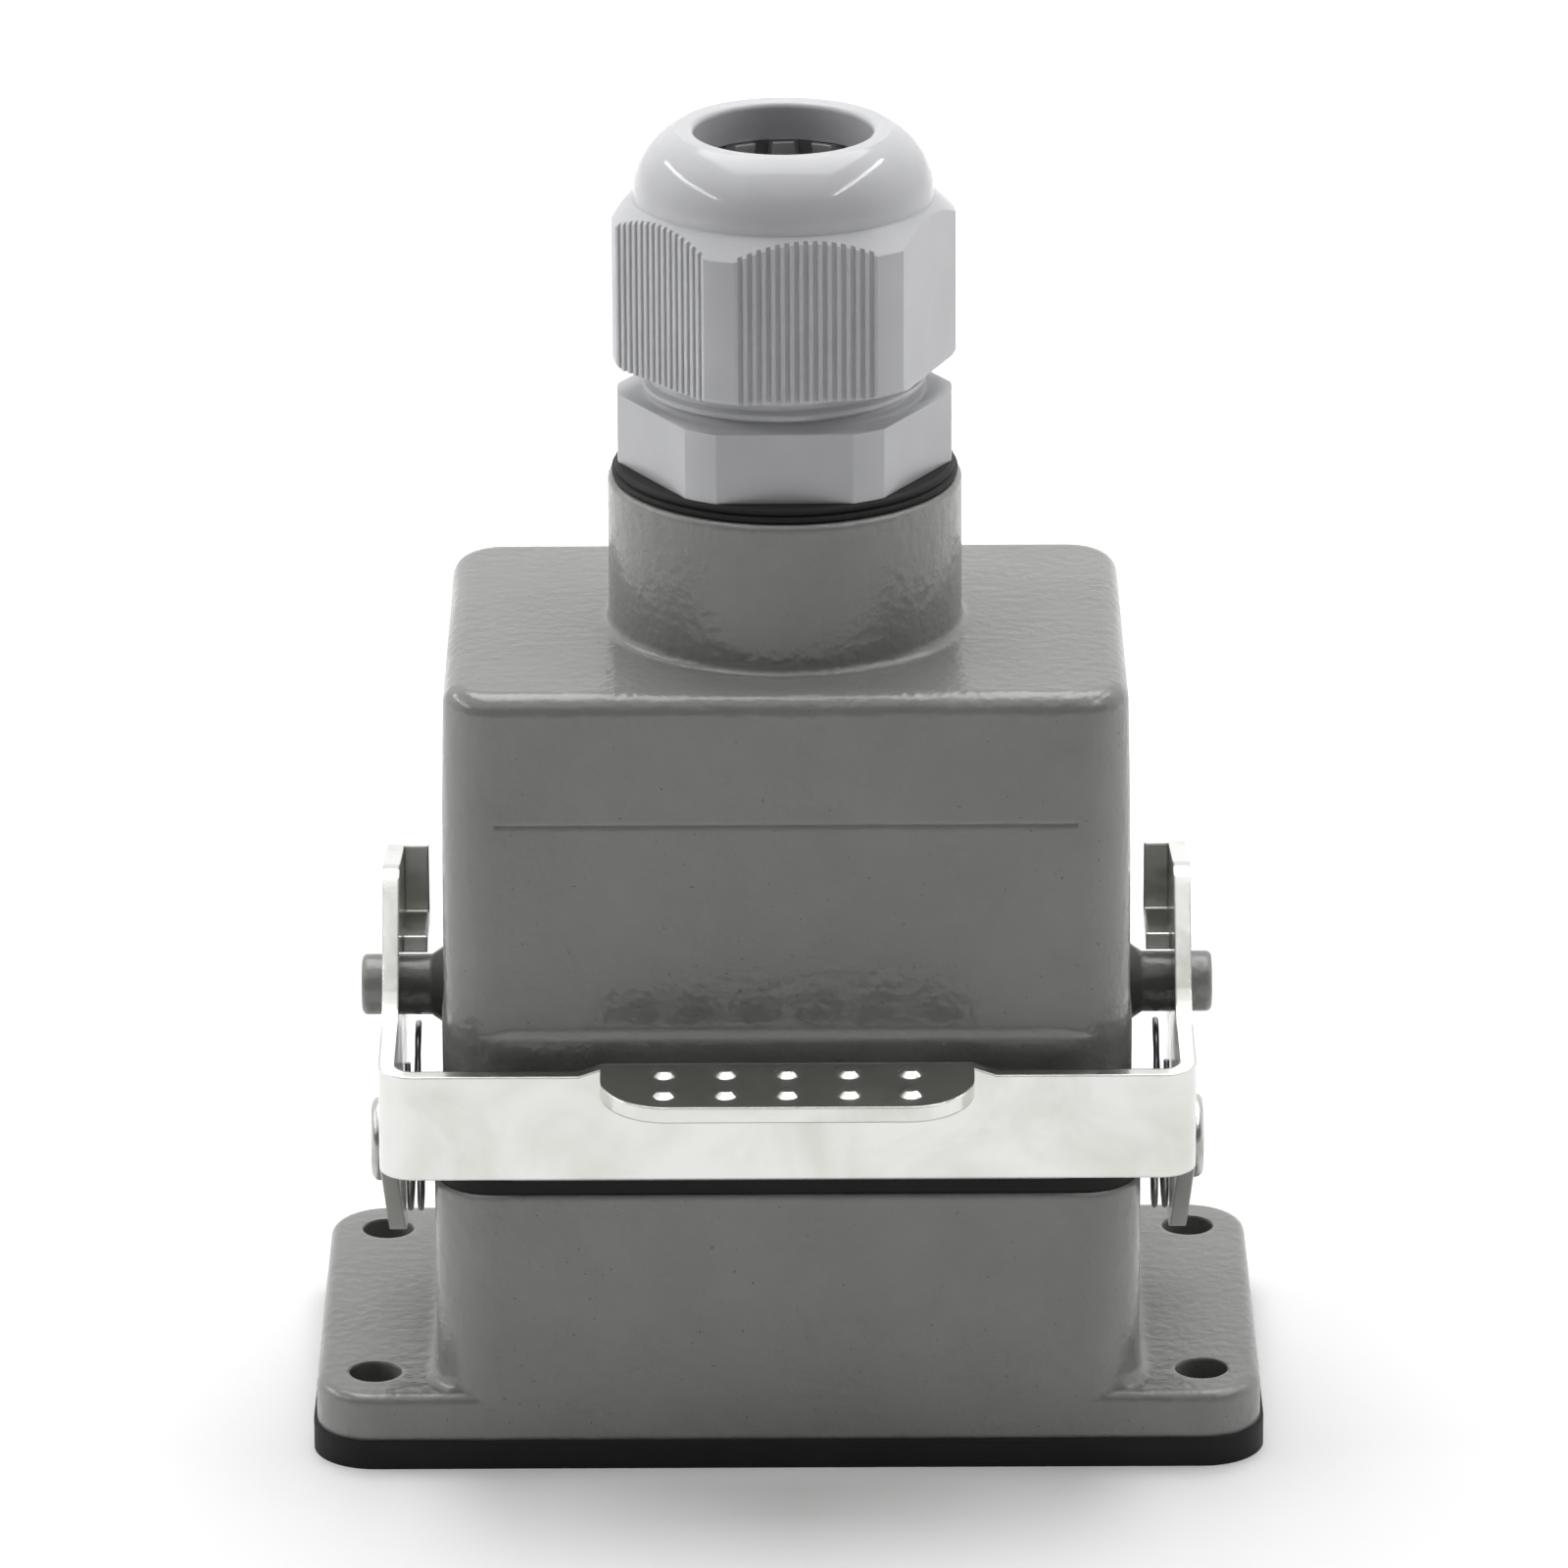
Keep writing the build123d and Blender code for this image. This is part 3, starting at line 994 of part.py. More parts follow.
def earth_blade(side, blade_x, seat, tip):
    """Bent strip: a foot screwed on the insert's plate and a blade through the plate."""
    away = 1 if tip < seat else -1
    foot_start = blade_x
    foot_end = blade_x + EARTH_FOOT_LENGTH
    foot_middle = (foot_start + foot_end) / 2
    foot = Pos(foot_middle, 0, seat + away * EARTH_SHEET / 2) * Box(
        foot_end - foot_start, EARTH_WIDTH, EARTH_SHEET)
    blade = Pos(blade_x + EARTH_SHEET / 2, 0, (seat + tip) / 2) * Box(
        EARTH_SHEET, EARTH_WIDTH, abs(seat - tip))
    strip = foot + blade
    strip -= disc(EARTH_SCREW_DIAMETER / 2 + THREAD_CLEARANCE, seat - 2 * EARTH_SHEET,
                  seat + 2 * EARTH_SHEET, blade_x + EARTH_SCREW_OFFSET, 0)
    if side < 0:
        strip = mirror(strip, Plane.YZ)
    return strip


def earth_screws(seat, blade_x, points_up):
    """Two earth screws, one at each end, with the head on the blade's foot."""
    head = EARTH_SCREW_HEAD_DIAMETER / 2
    length = EARTH_SCREW_GRIP + EARTH_SHEET
    screw = disc(head, EARTH_SHEET, EARTH_SHEET + EARTH_SCREW_HEAD_HEIGHT)
    screw += disc(EARTH_SCREW_DIAMETER / 2, EARTH_SHEET - length, EARTH_SHEET)
    screw -= screw_slot(2 * head, 0, 0, EARTH_SHEET + EARTH_SCREW_HEAD_HEIGHT)
    turn = 180 if points_up else 0
    reach = blade_x + EARTH_SCREW_OFFSET
    return [Pos(side * reach, 0, seat) * Rot(turn, 0, 0) * screw for side in (-1, 1)]


def all_pieces():
    """Every sub-part by its name."""
    pieces = {
        "bulkhead_housing": bulkhead_housing(),
        "flange_gasket": flange_gasket(),
        "rim_seal": rim_seal(),
        "hood": hood(),
        "locking_lever": locking_lever(),
        "gland_body": gland_body(),
        "gland_gasket": gland_gasket(),
        "gland_nut": gland_nut(),
        "gland_claw": gland_claw(),
        "gland_seal": gland_seal(),
        "male_insert": male_insert(),
        "male_terminal_block": male_terminal_block(),
        "female_insert": female_insert(),
        "female_terminal_block": female_terminal_block(),
    }
    male_tip = MALE_PLATE_BOTTOM - SHROUD_HEIGHT + EARTH_BLADE_TIP_SETBACK
    female_tip = FEMALE_FACE - EARTH_BLADE_TIP_SETBACK
    for name, side in (("left", -1), ("right", 1)):
        pieces["pivot_rivet_" + name] = pivot_rivet(side)
        pieces["lever_spring_" + name] = lever_spring(side)
        pieces["male_earth_" + name] = earth_blade(side, EARTH_BLADE_X, MALE_PLATE_TOP, male_tip)
        pieces["female_earth_" + name] = earth_blade(
            side, FEMALE_BLADE_X, FEMALE_PLATE_BOTTOM, female_tip)
    for number, (x, y, side) in enumerate(contact_places(), start=1):
        pieces["male_contact_" + str(number)] = male_contact(x, y, side)
        pieces["female_contact_" + str(number)] = female_contact(x, y, side)
    male_block = MALE_BLOCK_TOP - CLAMP_BLOCK_SETBACK - CLAMP_BLOCK_HEIGHT
    female_block = FEMALE_BLOCK_BOTTOM + CLAMP_BLOCK_SETBACK
    pieces["male_terminal_screws"] = Compound(children=terminal_screws(male_block))
    pieces["female_terminal_screws"] = Compound(children=terminal_screws(female_block))
    pieces["male_fixing_screws"] = Compound(children=fixing_screws(MALE_PLATE_BOTTOM, True))
    pieces["female_fixing_screws"] = Compound(children=fixing_screws(FEMALE_PLATE_TOP, False))
    pieces["male_earth_screws"] = Compound(
        children=earth_screws(MALE_PLATE_TOP, EARTH_BLADE_X, False))
    pieces["female_earth_screws"] = Compound(
        children=earth_screws(FEMALE_PLATE_BOTTOM, FEMALE_BLADE_X, True))
    return pieces


os.makedirs("parts", exist_ok=True)
for name, piece in all_pieces().items():
    export_step(piece, "parts/" + name + ".step")
    print(name, round(piece.volume, 1))
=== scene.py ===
import bmesh
import bpy
import math
from mathutils import Matrix, Vector


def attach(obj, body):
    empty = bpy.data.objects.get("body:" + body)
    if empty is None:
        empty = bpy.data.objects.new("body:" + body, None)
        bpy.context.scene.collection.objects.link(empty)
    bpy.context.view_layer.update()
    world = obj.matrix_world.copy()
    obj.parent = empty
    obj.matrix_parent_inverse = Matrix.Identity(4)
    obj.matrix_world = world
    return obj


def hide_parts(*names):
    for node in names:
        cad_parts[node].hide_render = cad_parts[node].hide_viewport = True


# Heavy duty rectangular connector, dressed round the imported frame. Lengths are in metres: X runs
# along the flange, the lever's handle is at -Y and the cable leaves upwards along +Z.
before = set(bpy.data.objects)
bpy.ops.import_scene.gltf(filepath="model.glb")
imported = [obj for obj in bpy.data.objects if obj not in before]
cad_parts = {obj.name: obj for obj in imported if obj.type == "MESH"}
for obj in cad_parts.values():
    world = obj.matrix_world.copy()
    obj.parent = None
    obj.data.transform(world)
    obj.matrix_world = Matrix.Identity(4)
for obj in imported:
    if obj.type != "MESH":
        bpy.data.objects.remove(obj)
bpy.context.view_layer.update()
MM = 0.001


# Camera
# It looks down on the connector's front from a long way off, leaning by a quarter of a degree,
# with a long lens that shows the whole connector and a little floor round it. The sensor's width
# and the lens are in millimetres.
CAMERA_PLACE = Vector((0.0, -0.85365, 0.3627))
CAMERA_TARGET = Vector((-0.00017, 0.0, 0.05355))
CAMERA_ROLL = math.radians(-0.245)
SENSOR_WIDTH = 36.0
LENS = 246.04
SEES_FROM_TO = (0.01, 20.0)

forward = (CAMERA_TARGET - CAMERA_PLACE).normalized()
level_right = forward.cross(Vector((0, 0, 1))).normalized()
level_up = level_right.cross(forward)
right = level_right * math.cos(CAMERA_ROLL) + level_up * math.sin(CAMERA_ROLL)
up = level_up * math.cos(CAMERA_ROLL) - level_right * math.sin(CAMERA_ROLL)
camera_data = bpy.data.cameras.new("camera")
camera_data.lens = LENS
camera_data.sensor_width = SENSOR_WIDTH
camera_data.clip_start, camera_data.clip_end = SEES_FROM_TO
camera = bpy.data.objects.new("camera", camera_data)
turn = Matrix((right, up, -forward)).transposed().to_4x4()
camera.matrix_world = Matrix.Translation(CAMERA_PLACE) @ turn
bpy.context.scene.collection.objects.link(camera)
bpy.context.scene.camera = camera


# Bulkhead housing
# Die-cast aluminium box on a flange with four screw holes, sprayed with grey powder and baked.
# The coat lies in the small even dimples of orange peel. A paler line on the edges is partly the
# thinner coat there and partly a painted highlight along them.
COAT_COLOUR = (0.232, 0.233, 0.220, 1)
COAT_THICK_COLOUR = (0.210, 0.212, 0.200, 1)
# Paler edge colour: partly the thinner coat, partly a painted highlight along every edge.
COAT_EDGE_HIGHLIGHT_COLOUR = (0.36, 0.36, 0.345, 1)
# Painted shade: small darker specks stand for the shade inside pits of the coat.
COAT_PIT_SHADE_COLOUR = (0.13, 0.13, 0.12, 1)
COAT_ROUGHNESS = (0.18, 0.265)
COAT_SOFT_EDGE = 0.6 * MM
COAT_EDGE_HIGHLIGHT_SHARE = 0.6
CLOUDS_PER_METRE = 130.0
CLOUD_RANGE = (0.35, 0.7)
PIT_SHADES_PER_METRE = 2300.0
PIT_SHADE_RANGE = (0.755, 0.80)
PEEL_PER_METRE = 950.0
PEEL_DEPTH = 0.12 * MM
PEEL_PATCHINESS = 0.5
PATCHES_PER_METRE = 70.0
PATCH_RANGE = (0.3, 0.7)
FINE_DIMPLE_RATIO = 2.3
FINE_DIMPLE_SHARE = 0.35
MEAN_NOISE = 0.5
EDGE_SAMPLES = 6
EDGE_STARTS_AT = 0.01
EDGE_FULL_AT = 0.12


def add_node(tree, kind, sockets=None, **settings):
    """One node with its settings, whose sockets get values or the outputs that feed them."""
    made = tree.nodes.new(kind)
    for name, value in settings.items():
        setattr(made, name, value)
    for name, value in (sockets or {}).items():
        if isinstance(value, bpy.types.NodeSocket):
            tree.links.new(value, made.inputs[name])
        else:
            made.inputs[name].default_value = value
    return made


def new_group(name, takes, gives):
    """An empty effect with named inputs, (name, default), and named outputs, (name, kind)."""
    tree = bpy.data.node_groups.new(name, "ShaderNodeTree")
    for label, value in takes:
        kind = "NodeSocketVector" if value is None else "NodeSocketFloat"
        socket = tree.interface.new_socket(label, in_out="INPUT", socket_type=kind)
        if value is not None:
            socket.default_value = value
    for label, kind in gives:
        tree.interface.new_socket(label, in_out="OUTPUT", socket_type="NodeSocket" + kind)
    source = tree.nodes.new("NodeGroupInput")
    return tree, source.outputs, tree.nodes.new("NodeGroupOutput").inputs


def place_group(tree, group, sockets):
    """Puts an effect into a material with that material's own values."""
    return add_node(tree, "ShaderNodeGroup", sockets, node_tree=group).outputs


def new_material(name, **fixed):
    """A material with its own shader and the point of the surface in the piece's own place."""
    material = bpy.data.materials.new(name)
    material.use_nodes = True
    tree = material.node_tree
    shader = tree.nodes["Principled BSDF"]
    for label, value in fixed.items():
        shader.inputs[label.replace("_", " ")].default_value = value
    point = tree.nodes.new("ShaderNodeTexCoord").outputs["Object"]
    return material, tree, shader.inputs, point


def noise(tree, point, scale, detail=2.0, rough=0.5, distort=0.0):
    """Smooth random value over the surface."""
    return add_node(tree, "ShaderNodeTexNoise", {
        "Vector": point, "Scale": scale, "Detail": detail, "Roughness": rough,
        "Distortion": distort}).outputs["Fac"]


def spread(tree, value, low, high, start=0.0, end=1.0, ramp="LINEAR"):
    """Maps a value from one range to another, held at both ends."""
    return add_node(tree, "ShaderNodeMapRange", {
        "Value": value, "From Min": low, "From Max": high, "To Min": start,
        "To Max": end}, interpolation_type=ramp).outputs["Result"]


def blend_colour(tree, share, first, second):
    """A colour between two others: the mix node takes colours at its sockets 6 and 7."""
    return add_node(tree, "ShaderNodeMix", {0: share, 6: first, 7: second},
                    data_type="RGBA").outputs[2]


def blend_value(tree, share, first, second):
    """A value between two others: the mix node takes values at its sockets 2 and 3."""
    return add_node(tree, "ShaderNodeMix", {0: share, 2: first, 3: second}).outputs[0]


def math_node(tree, operation, first, second):
    """One sum of two values."""
    made = add_node(tree, "ShaderNodeMath", {0: first, 1: second}, operation=operation)
    return made.outputs[0]


def relief(tree, height, normal, strength, depth):
    """The surface's normal with fine highs and lows on it."""
    return add_node(tree, "ShaderNodeBump", {
        "Height": height, "Normal": normal, "Strength": strength,
        "Distance": depth}).outputs[0]


def dress(material, *names):
    """Gives a material to CAD pieces."""
    for name in names:
        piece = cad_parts[name]
        piece.data.materials.clear()
        piece.data.materials.append(material)


# Orange peel: dimples of two sizes about the coat's own level, deeper in some places than others.
peel, takes, gives = new_group(
    "orange_peel",
    [("Point", None), ("Per metre", PEEL_PER_METRE), ("Patchiness", PEEL_PATCHINESS)],
    [("Height", "Float"), ("Patches", "Float")])
finer = math_node(peel, "MULTIPLY", takes["Per metre"], FINE_DIMPLE_RATIO)
coarse = noise(peel, takes["Point"], takes["Per metre"], detail=1.0, rough=0.4)
fine = noise(peel, takes["Point"], finer, detail=1.0)
drift = noise(peel, takes["Point"], PATCHES_PER_METRE, detail=2.0)
patches = spread(peel, drift, *PATCH_RANGE, ramp="SMOOTHSTEP")
plain = math_node(peel, "SUBTRACT", 1.0, takes["Patchiness"])
depth = math_node(peel, "ADD", plain, math_node(peel, "MULTIPLY", patches, takes["Patchiness"]))
level = MEAN_NOISE * (1.0 + FINE_DIMPLE_SHARE)
dimples = math_node(peel, "ADD", math_node(peel, "SUBTRACT", coarse, level),
                    math_node(peel, "MULTIPLY", fine, FINE_DIMPLE_SHARE))
peel.links.new(math_node(peel, "MULTIPLY", dimples, depth), gives["Height"])
peel.links.new(patches, gives["Patches"])

# Edge mask: how far the rounded edge's normal leans from the flat face's, and that normal. On the
# powder coat this mask places a painted highlight.
bevel_edge_mask, takes, gives = new_group(
    "bevel_edge_mask", [("Radius", COAT_SOFT_EDGE), ("Width", EDGE_FULL_AT)],
    [("Edge", "Float"), ("Normal", "Vector")])
rounded = add_node(bevel_edge_mask, "ShaderNodeBevel", {"Radius": takes["Radius"]},
                   samples=EDGE_SAMPLES)
face = bevel_edge_mask.nodes.new("ShaderNodeNewGeometry").outputs["Normal"]
lean = add_node(bevel_edge_mask, "ShaderNodeVectorMath", {0: rounded.outputs[0], 1: face},
                operation="DOT_PRODUCT").outputs["Value"]
bevel_edge_mask.links.new(spread(bevel_edge_mask, math_node(bevel_edge_mask, "SUBTRACT", 1.0, lean),
                           EDGE_STARTS_AT, takes["Width"]), gives["Edge"])
bevel_edge_mask.links.new(rounded.outputs[0], gives["Normal"])

coat, tree, shader, point = new_material("grey_powder_coat", IOR=1.58)
grain = place_group(tree, peel, {
    "Point": point, "Per metre": PEEL_PER_METRE, "Patchiness": PEEL_PATCHINESS})
edge = place_group(tree, bevel_edge_mask, {"Radius": COAT_SOFT_EDGE})
clouds = spread(tree, noise(tree, point, CLOUDS_PER_METRE, detail=4.0, rough=0.6), *CLOUD_RANGE)
body = blend_colour(tree, clouds, COAT_COLOUR, COAT_THICK_COLOUR)
# Painted highlight: the edges turn paler, partly for the thinner coat and partly for the light
# that catches them.
edge_highlight_share = math_node(tree, "MULTIPLY", edge["Edge"], COAT_EDGE_HIGHLIGHT_SHARE)
coat_with_edge_highlight = blend_colour(tree, edge_highlight_share, body, COAT_EDGE_HIGHLIGHT_COLOUR)
# Painted shade: small darker specks, as the shade in pits of the coat.
pit_shade = spread(tree, noise(tree, point, PIT_SHADES_PER_METRE, detail=1.0), *PIT_SHADE_RANGE)
tree.links.new(blend_colour(tree, pit_shade, coat_with_edge_highlight, COAT_PIT_SHADE_COLOUR), shader["Base Color"])
tree.links.new(spread(tree, grain["Patches"], 0.0, 1.0, *COAT_ROUGHNESS), shader["Roughness"])
dimpled = relief(tree, grain["Height"], edge["Normal"], strength=1.0, depth=PEEL_DEPTH)
tree.links.new(dimpled, shader["Normal"])
dress(coat, "bulkhead_housing")


# Flange gasket and rim seal
# Matt black rubber, stamped from sheet for the flange and moulded with a tongue for the rim.
# It has a faint grey bloom, which is strongest along the cut edges.
RUBBER_COLOUR = (0.006, 0.006, 0.0065, 1)
RUBBER_BLOOM = (0.014, 0.0145, 0.015, 1)
RUBBER_ROUGHNESS = (0.55, 0.72)
RUBBER_SOFT_EDGE = 0.3 * MM
BLOOM_PER_METRE = 180.0
BLOOM_RANGE = (0.4, 0.75)
BLOOM_ON_EDGES = 0.6
RUBBER_GRAIN_PER_METRE = 4200.0
RUBBER_GRAIN_DEPTH = 0.012 * MM

rubber, tree, shader, point = new_material("black_rubber", Specular_IOR_Level=0.25)
bloom = spread(tree, noise(tree, point, BLOOM_PER_METRE, detail=4.0, rough=0.6), *BLOOM_RANGE)
edge = place_group(tree, bevel_edge_mask, {"Radius": RUBBER_SOFT_EDGE})
on_edges = math_node(tree, "MULTIPLY", edge["Edge"], BLOOM_ON_EDGES)
share = math_node(tree, "MAXIMUM", bloom, on_edges)
tree.links.new(blend_colour(tree, share, RUBBER_COLOUR, RUBBER_BLOOM), shader["Base Color"])
tree.links.new(spread(tree, bloom, 0.0, 1.0, *RUBBER_ROUGHNESS), shader["Roughness"])
grain = noise(tree, point, RUBBER_GRAIN_PER_METRE, detail=2.0)
skin = relief(tree, grain, edge["Normal"], strength=0.6, depth=RUBBER_GRAIN_DEPTH)
tree.links.new(skin, shader["Normal"])
dress(rubber, "flange_gasket", "rim_seal", "gland_gasket", "gland_seal")


# Contact inserts
# Pale grey glass-filled plastic carriers, one in each casting, screwed down at four corners.
# The glass gives the moulded faces a slightly cloudy, dry look.
CARRIER_COLOUR = (0.50, 0.51, 0.50, 1)
CARRIER_CLOUD = (0.42, 0.43, 0.42, 1)
CARRIER_ROUGHNESS = (0.42, 0.56)
CARRIER_SOFT_EDGE = 0.2 * MM
CARRIER_CLOUDS_PER_METRE = 320.0
CARRIER_CLOUD_RANGE = (0.35, 0.7)
CARRIER_GRAIN_PER_METRE = 2600.0
CARRIER_GRAIN_DEPTH = 0.008 * MM

carrier, tree, shader, point = new_material("insert_plastic")
glass = noise(tree, point, CARRIER_CLOUDS_PER_METRE, detail=5.0, rough=0.65)
cloud = spread(tree, glass, *CARRIER_CLOUD_RANGE)
tree.links.new(blend_colour(tree, cloud, CARRIER_COLOUR, CARRIER_CLOUD), shader["Base Color"])
tree.links.new(spread(tree, cloud, 0.0, 1.0, *CARRIER_ROUGHNESS), shader["Roughness"])
edge = place_group(tree, bevel_edge_mask, {"Radius": CARRIER_SOFT_EDGE})
grain = noise(tree, point, CARRIER_GRAIN_PER_METRE, detail=2.0)
skin = relief(tree, grain, edge["Normal"], strength=0.5, depth=CARRIER_GRAIN_DEPTH)
tree.links.new(skin, shader["Normal"])
dress(carrier, "male_insert", "female_insert", "male_terminal_block", "female_terminal_block")


# Contacts, earth strips and screws
# Turned contacts in silver-plated brass, bent earth strips in tinned brass and plated screws.
# All show the faint rings or lines of the tool under a thin bright plating. The lever's rivets
# and wire springs are metals of the same kind.
CONTACT_COUNT = 6
MARKS_PER_METRE = 2500.0
MARKS_DEPTH = 0.006 * MM
STAIN_PER_METRE = 420.0
STAIN_RANGE = (0.4, 0.75)
STAIN_ROUGHER_BY = 0.15
METAL_SOFT_EDGE = 0.12 * MM
# Each metal: its bright colour, its stained colour and its roughness where it is bright.
METALS = {
    "silver_plated": ((0.86, 0.84, 0.78, 1), (0.66, 0.62, 0.52, 1), 0.28),
    "tinned_strip": ((0.80, 0.76, 0.62, 1), (0.60, 0.52, 0.36, 1), 0.34),
    "plated_screw": ((0.74, 0.74, 0.72, 1), (0.48, 0.48, 0.46, 1), 0.30),
    "rivet_steel": ((0.56, 0.56, 0.54, 1), (0.36, 0.36, 0.34, 1), 0.28),
    "spring_wire": ((0.60, 0.60, 0.60, 1), (0.36, 0.36, 0.36, 1), 0.28),
}

# Tool marks: fine lines round or across a metal piece, broken up by a slow drift.
tool_marks, takes, gives = new_group(
    "tool_marks", [("Point", None), ("Per metre", MARKS_PER_METRE)],
    [("Height", "Float"), ("Stain", "Float")])
lines = add_node(tool_marks, "ShaderNodeTexWave", {
    "Vector": takes["Point"], "Scale": takes["Per metre"], "Distortion": 1.5, "Detail": 2.0,
    "Detail Scale": 1.5}, bands_direction="Z")
drift = noise(tool_marks, takes["Point"], STAIN_PER_METRE, detail=3.0)
cut = math_node(tool_marks, "MULTIPLY", lines.outputs["Fac"], drift)
tool_marks.links.new(cut, gives["Height"])
tool_marks.links.new(spread(tool_marks, drift, *STAIN_RANGE), gives["Stain"])

metals = {}
for name, (bright, dull, roughness) in METALS.items():
    metal, tree, shader, point = new_material(name, Metallic=1.0)
    marks = place_group(tree, tool_marks, {"Point": point, "Per metre": MARKS_PER_METRE})
    tree.links.new(blend_colour(tree, marks["Stain"], bright, dull), shader["Base Color"])
    dulled = spread(tree, marks["Stain"], 0.0, 1.0, roughness, roughness + STAIN_ROUGHER_BY)
    tree.links.new(dulled, shader["Roughness"])
    edge = place_group(tree, bevel_edge_mask, {"Radius": METAL_SOFT_EDGE})
    turned = relief(tree, marks["Height"], edge["Normal"], strength=0.5, depth=MARKS_DEPTH)
    tree.links.new(turned, shader["Normal"])
    metals[name] = metal

for number in range(1, CONTACT_COUNT + 1):
    dress(metals["silver_plated"], "male_contact_%d" % number, "female_contact_%d" % number)
for group in ("male", "female"):
    dress(metals["tinned_strip"], group + "_earth_left", group + "_earth_right")
    dress(metals["plated_screw"], group + "_terminal_screws", group + "_fixing_screws",
          group + "_earth_screws")


# Locking lever
# One strip of pressed steel sheet, bent into a bar with two slotted arms and zinc plated bright.
# The plating is cloudy, with faint yellow blotches, and the sheared edges are a little darker.
ZINC_COLOUR = (0.77, 0.775, 0.75, 1)
ZINC_CLOUD = (0.645, 0.65, 0.595, 1)
ZINC_EDGE_COLOUR = (0.58, 0.59, 0.58, 1)
ZINC_ROUGHNESS = (0.13, 0.26)
ZINC_EDGE_SHARE = 0.35
ZINC_SOFT_EDGE = 0.3 * MM
PLATING_CLOUDS_PER_METRE = 95.0
PLATING_CLOUD_RANGE = (0.42, 0.72)
PLATING_FLOW_PER_METRE = 900.0
SHEET_WAVES_PER_METRE = 160.0
SHEET_WAVE_DEPTH = 0.02 * MM
FLOW_SHARE_OF_WAVES = 0.05
DULLING_RANGE = (0.3, 1.4)

zinc, tree, shader, point = new_material("bright_zinc", Metallic=1.0)
blotches = noise(tree, point, PLATING_CLOUDS_PER_METRE, detail=4.0, rough=0.6, distort=0.6)
clouds = spread(tree, blotches, *PLATING_CLOUD_RANGE)
flow = noise(tree, point, PLATING_FLOW_PER_METRE, detail=3.0, rough=0.6)
edge = place_group(tree, bevel_edge_mask, {"Radius": ZINC_SOFT_EDGE})
plating = blend_colour(tree, clouds, ZINC_COLOUR, ZINC_CLOUD)
darker = math_node(tree, "MULTIPLY", edge["Edge"], ZINC_EDGE_SHARE)
tree.links.new(blend_colour(tree, darker, plating, ZINC_EDGE_COLOUR), shader["Base Color"])
dulled = spread(tree, math_node(tree, "ADD", clouds, flow), *DULLING_RANGE, *ZINC_ROUGHNESS)
tree.links.new(dulled, shader["Roughness"])
waves = math_node(tree, "ADD", noise(tree, point, SHEET_WAVES_PER_METRE, detail=2.0),
                  math_node(tree, "MULTIPLY", flow, FLOW_SHARE_OF_WAVES))
rolled = relief(tree, waves, edge["Normal"], strength=0.5, depth=SHEET_WAVE_DEPTH)
tree.links.new(rolled, shader["Normal"])
dress(zinc, "locking_lever")


# Pivot rivets and wire springs
# Steel rivets headed over the lever's arms, and stainless wire springs wound round them.
# The heads are plated like the lever, the wire keeps the long lines of the drawing die.
dress(metals["rivet_steel"], "pivot_rivet_left", "pivot_rivet_right")
dress(metals["spring_wire"], "lever_spring_left", "lever_spring_right")


# Hood
# Die-cast aluminium with a stout collar, two locking pegs and a round neck for the cable gland.
# It is coated with the housing, so its finish is the same.
dress(coat, "hood")


# Cable gland: body, claw and nut
# Moulded in nylon: a grey body with a hexagon and a clamping thread, a slotted claw round the
# rubber sleeve, and a grey ribbed dome nut that squeezes the claw when it is screwed down. The
# claw has a paler copy of the grey nylon, which paints light onto its teeth where they sit in the
# nut's shade.
# The dome's mould was polished, the hexagons' only smooth.
NYLONS = {
    "grey_nylon": ((0.60, 0.603, 0.62, 1), (0.56, 0.563, 0.58, 1)),
    # Painted light: a paler copy of the grey nylon that lifts the claw's teeth out of the shade
    # inside the nut.
    "claw_nylon_painted_light": ((0.88, 0.88, 0.87, 1), (0.80, 0.80, 0.79, 1)),
}
NYLON_ROUGHNESS = (0.30, 0.40)
NYLON_SOFT_EDGE = 0.15 * MM
NYLON_LIGHT_REACH = 0.8 * MM
NYLON_FLOW_PER_METRE = 150.0
NYLON_FLOW_RANGE = (0.3, 0.75)
NYLON_SKIN_PER_METRE = 1500.0
NYLON_SKIN_DEPTH = 0.006 * MM
DOME_ROUGHNESS = 0.10
DOME_START = 105.4 * MM
DOME_END = 106.2 * MM
THREAD_RADIUS = 11.9 * MM
THREAD_BOTTOM = 88.8 * MM
THREAD_TOP = 101.2 * MM
THREAD_PITCH = 1.41 * MM
THREAD_DEPTH = 0.55 * MM
THREAD_RUN_IN = 0.5 * MM
THREAD_FLANK = 0.85
THREAD_ROWS = 96
SHARP_ANGLE = math.radians(12)
SAME_PLACE = 0.02 * MM
UPRIGHT = 0.5

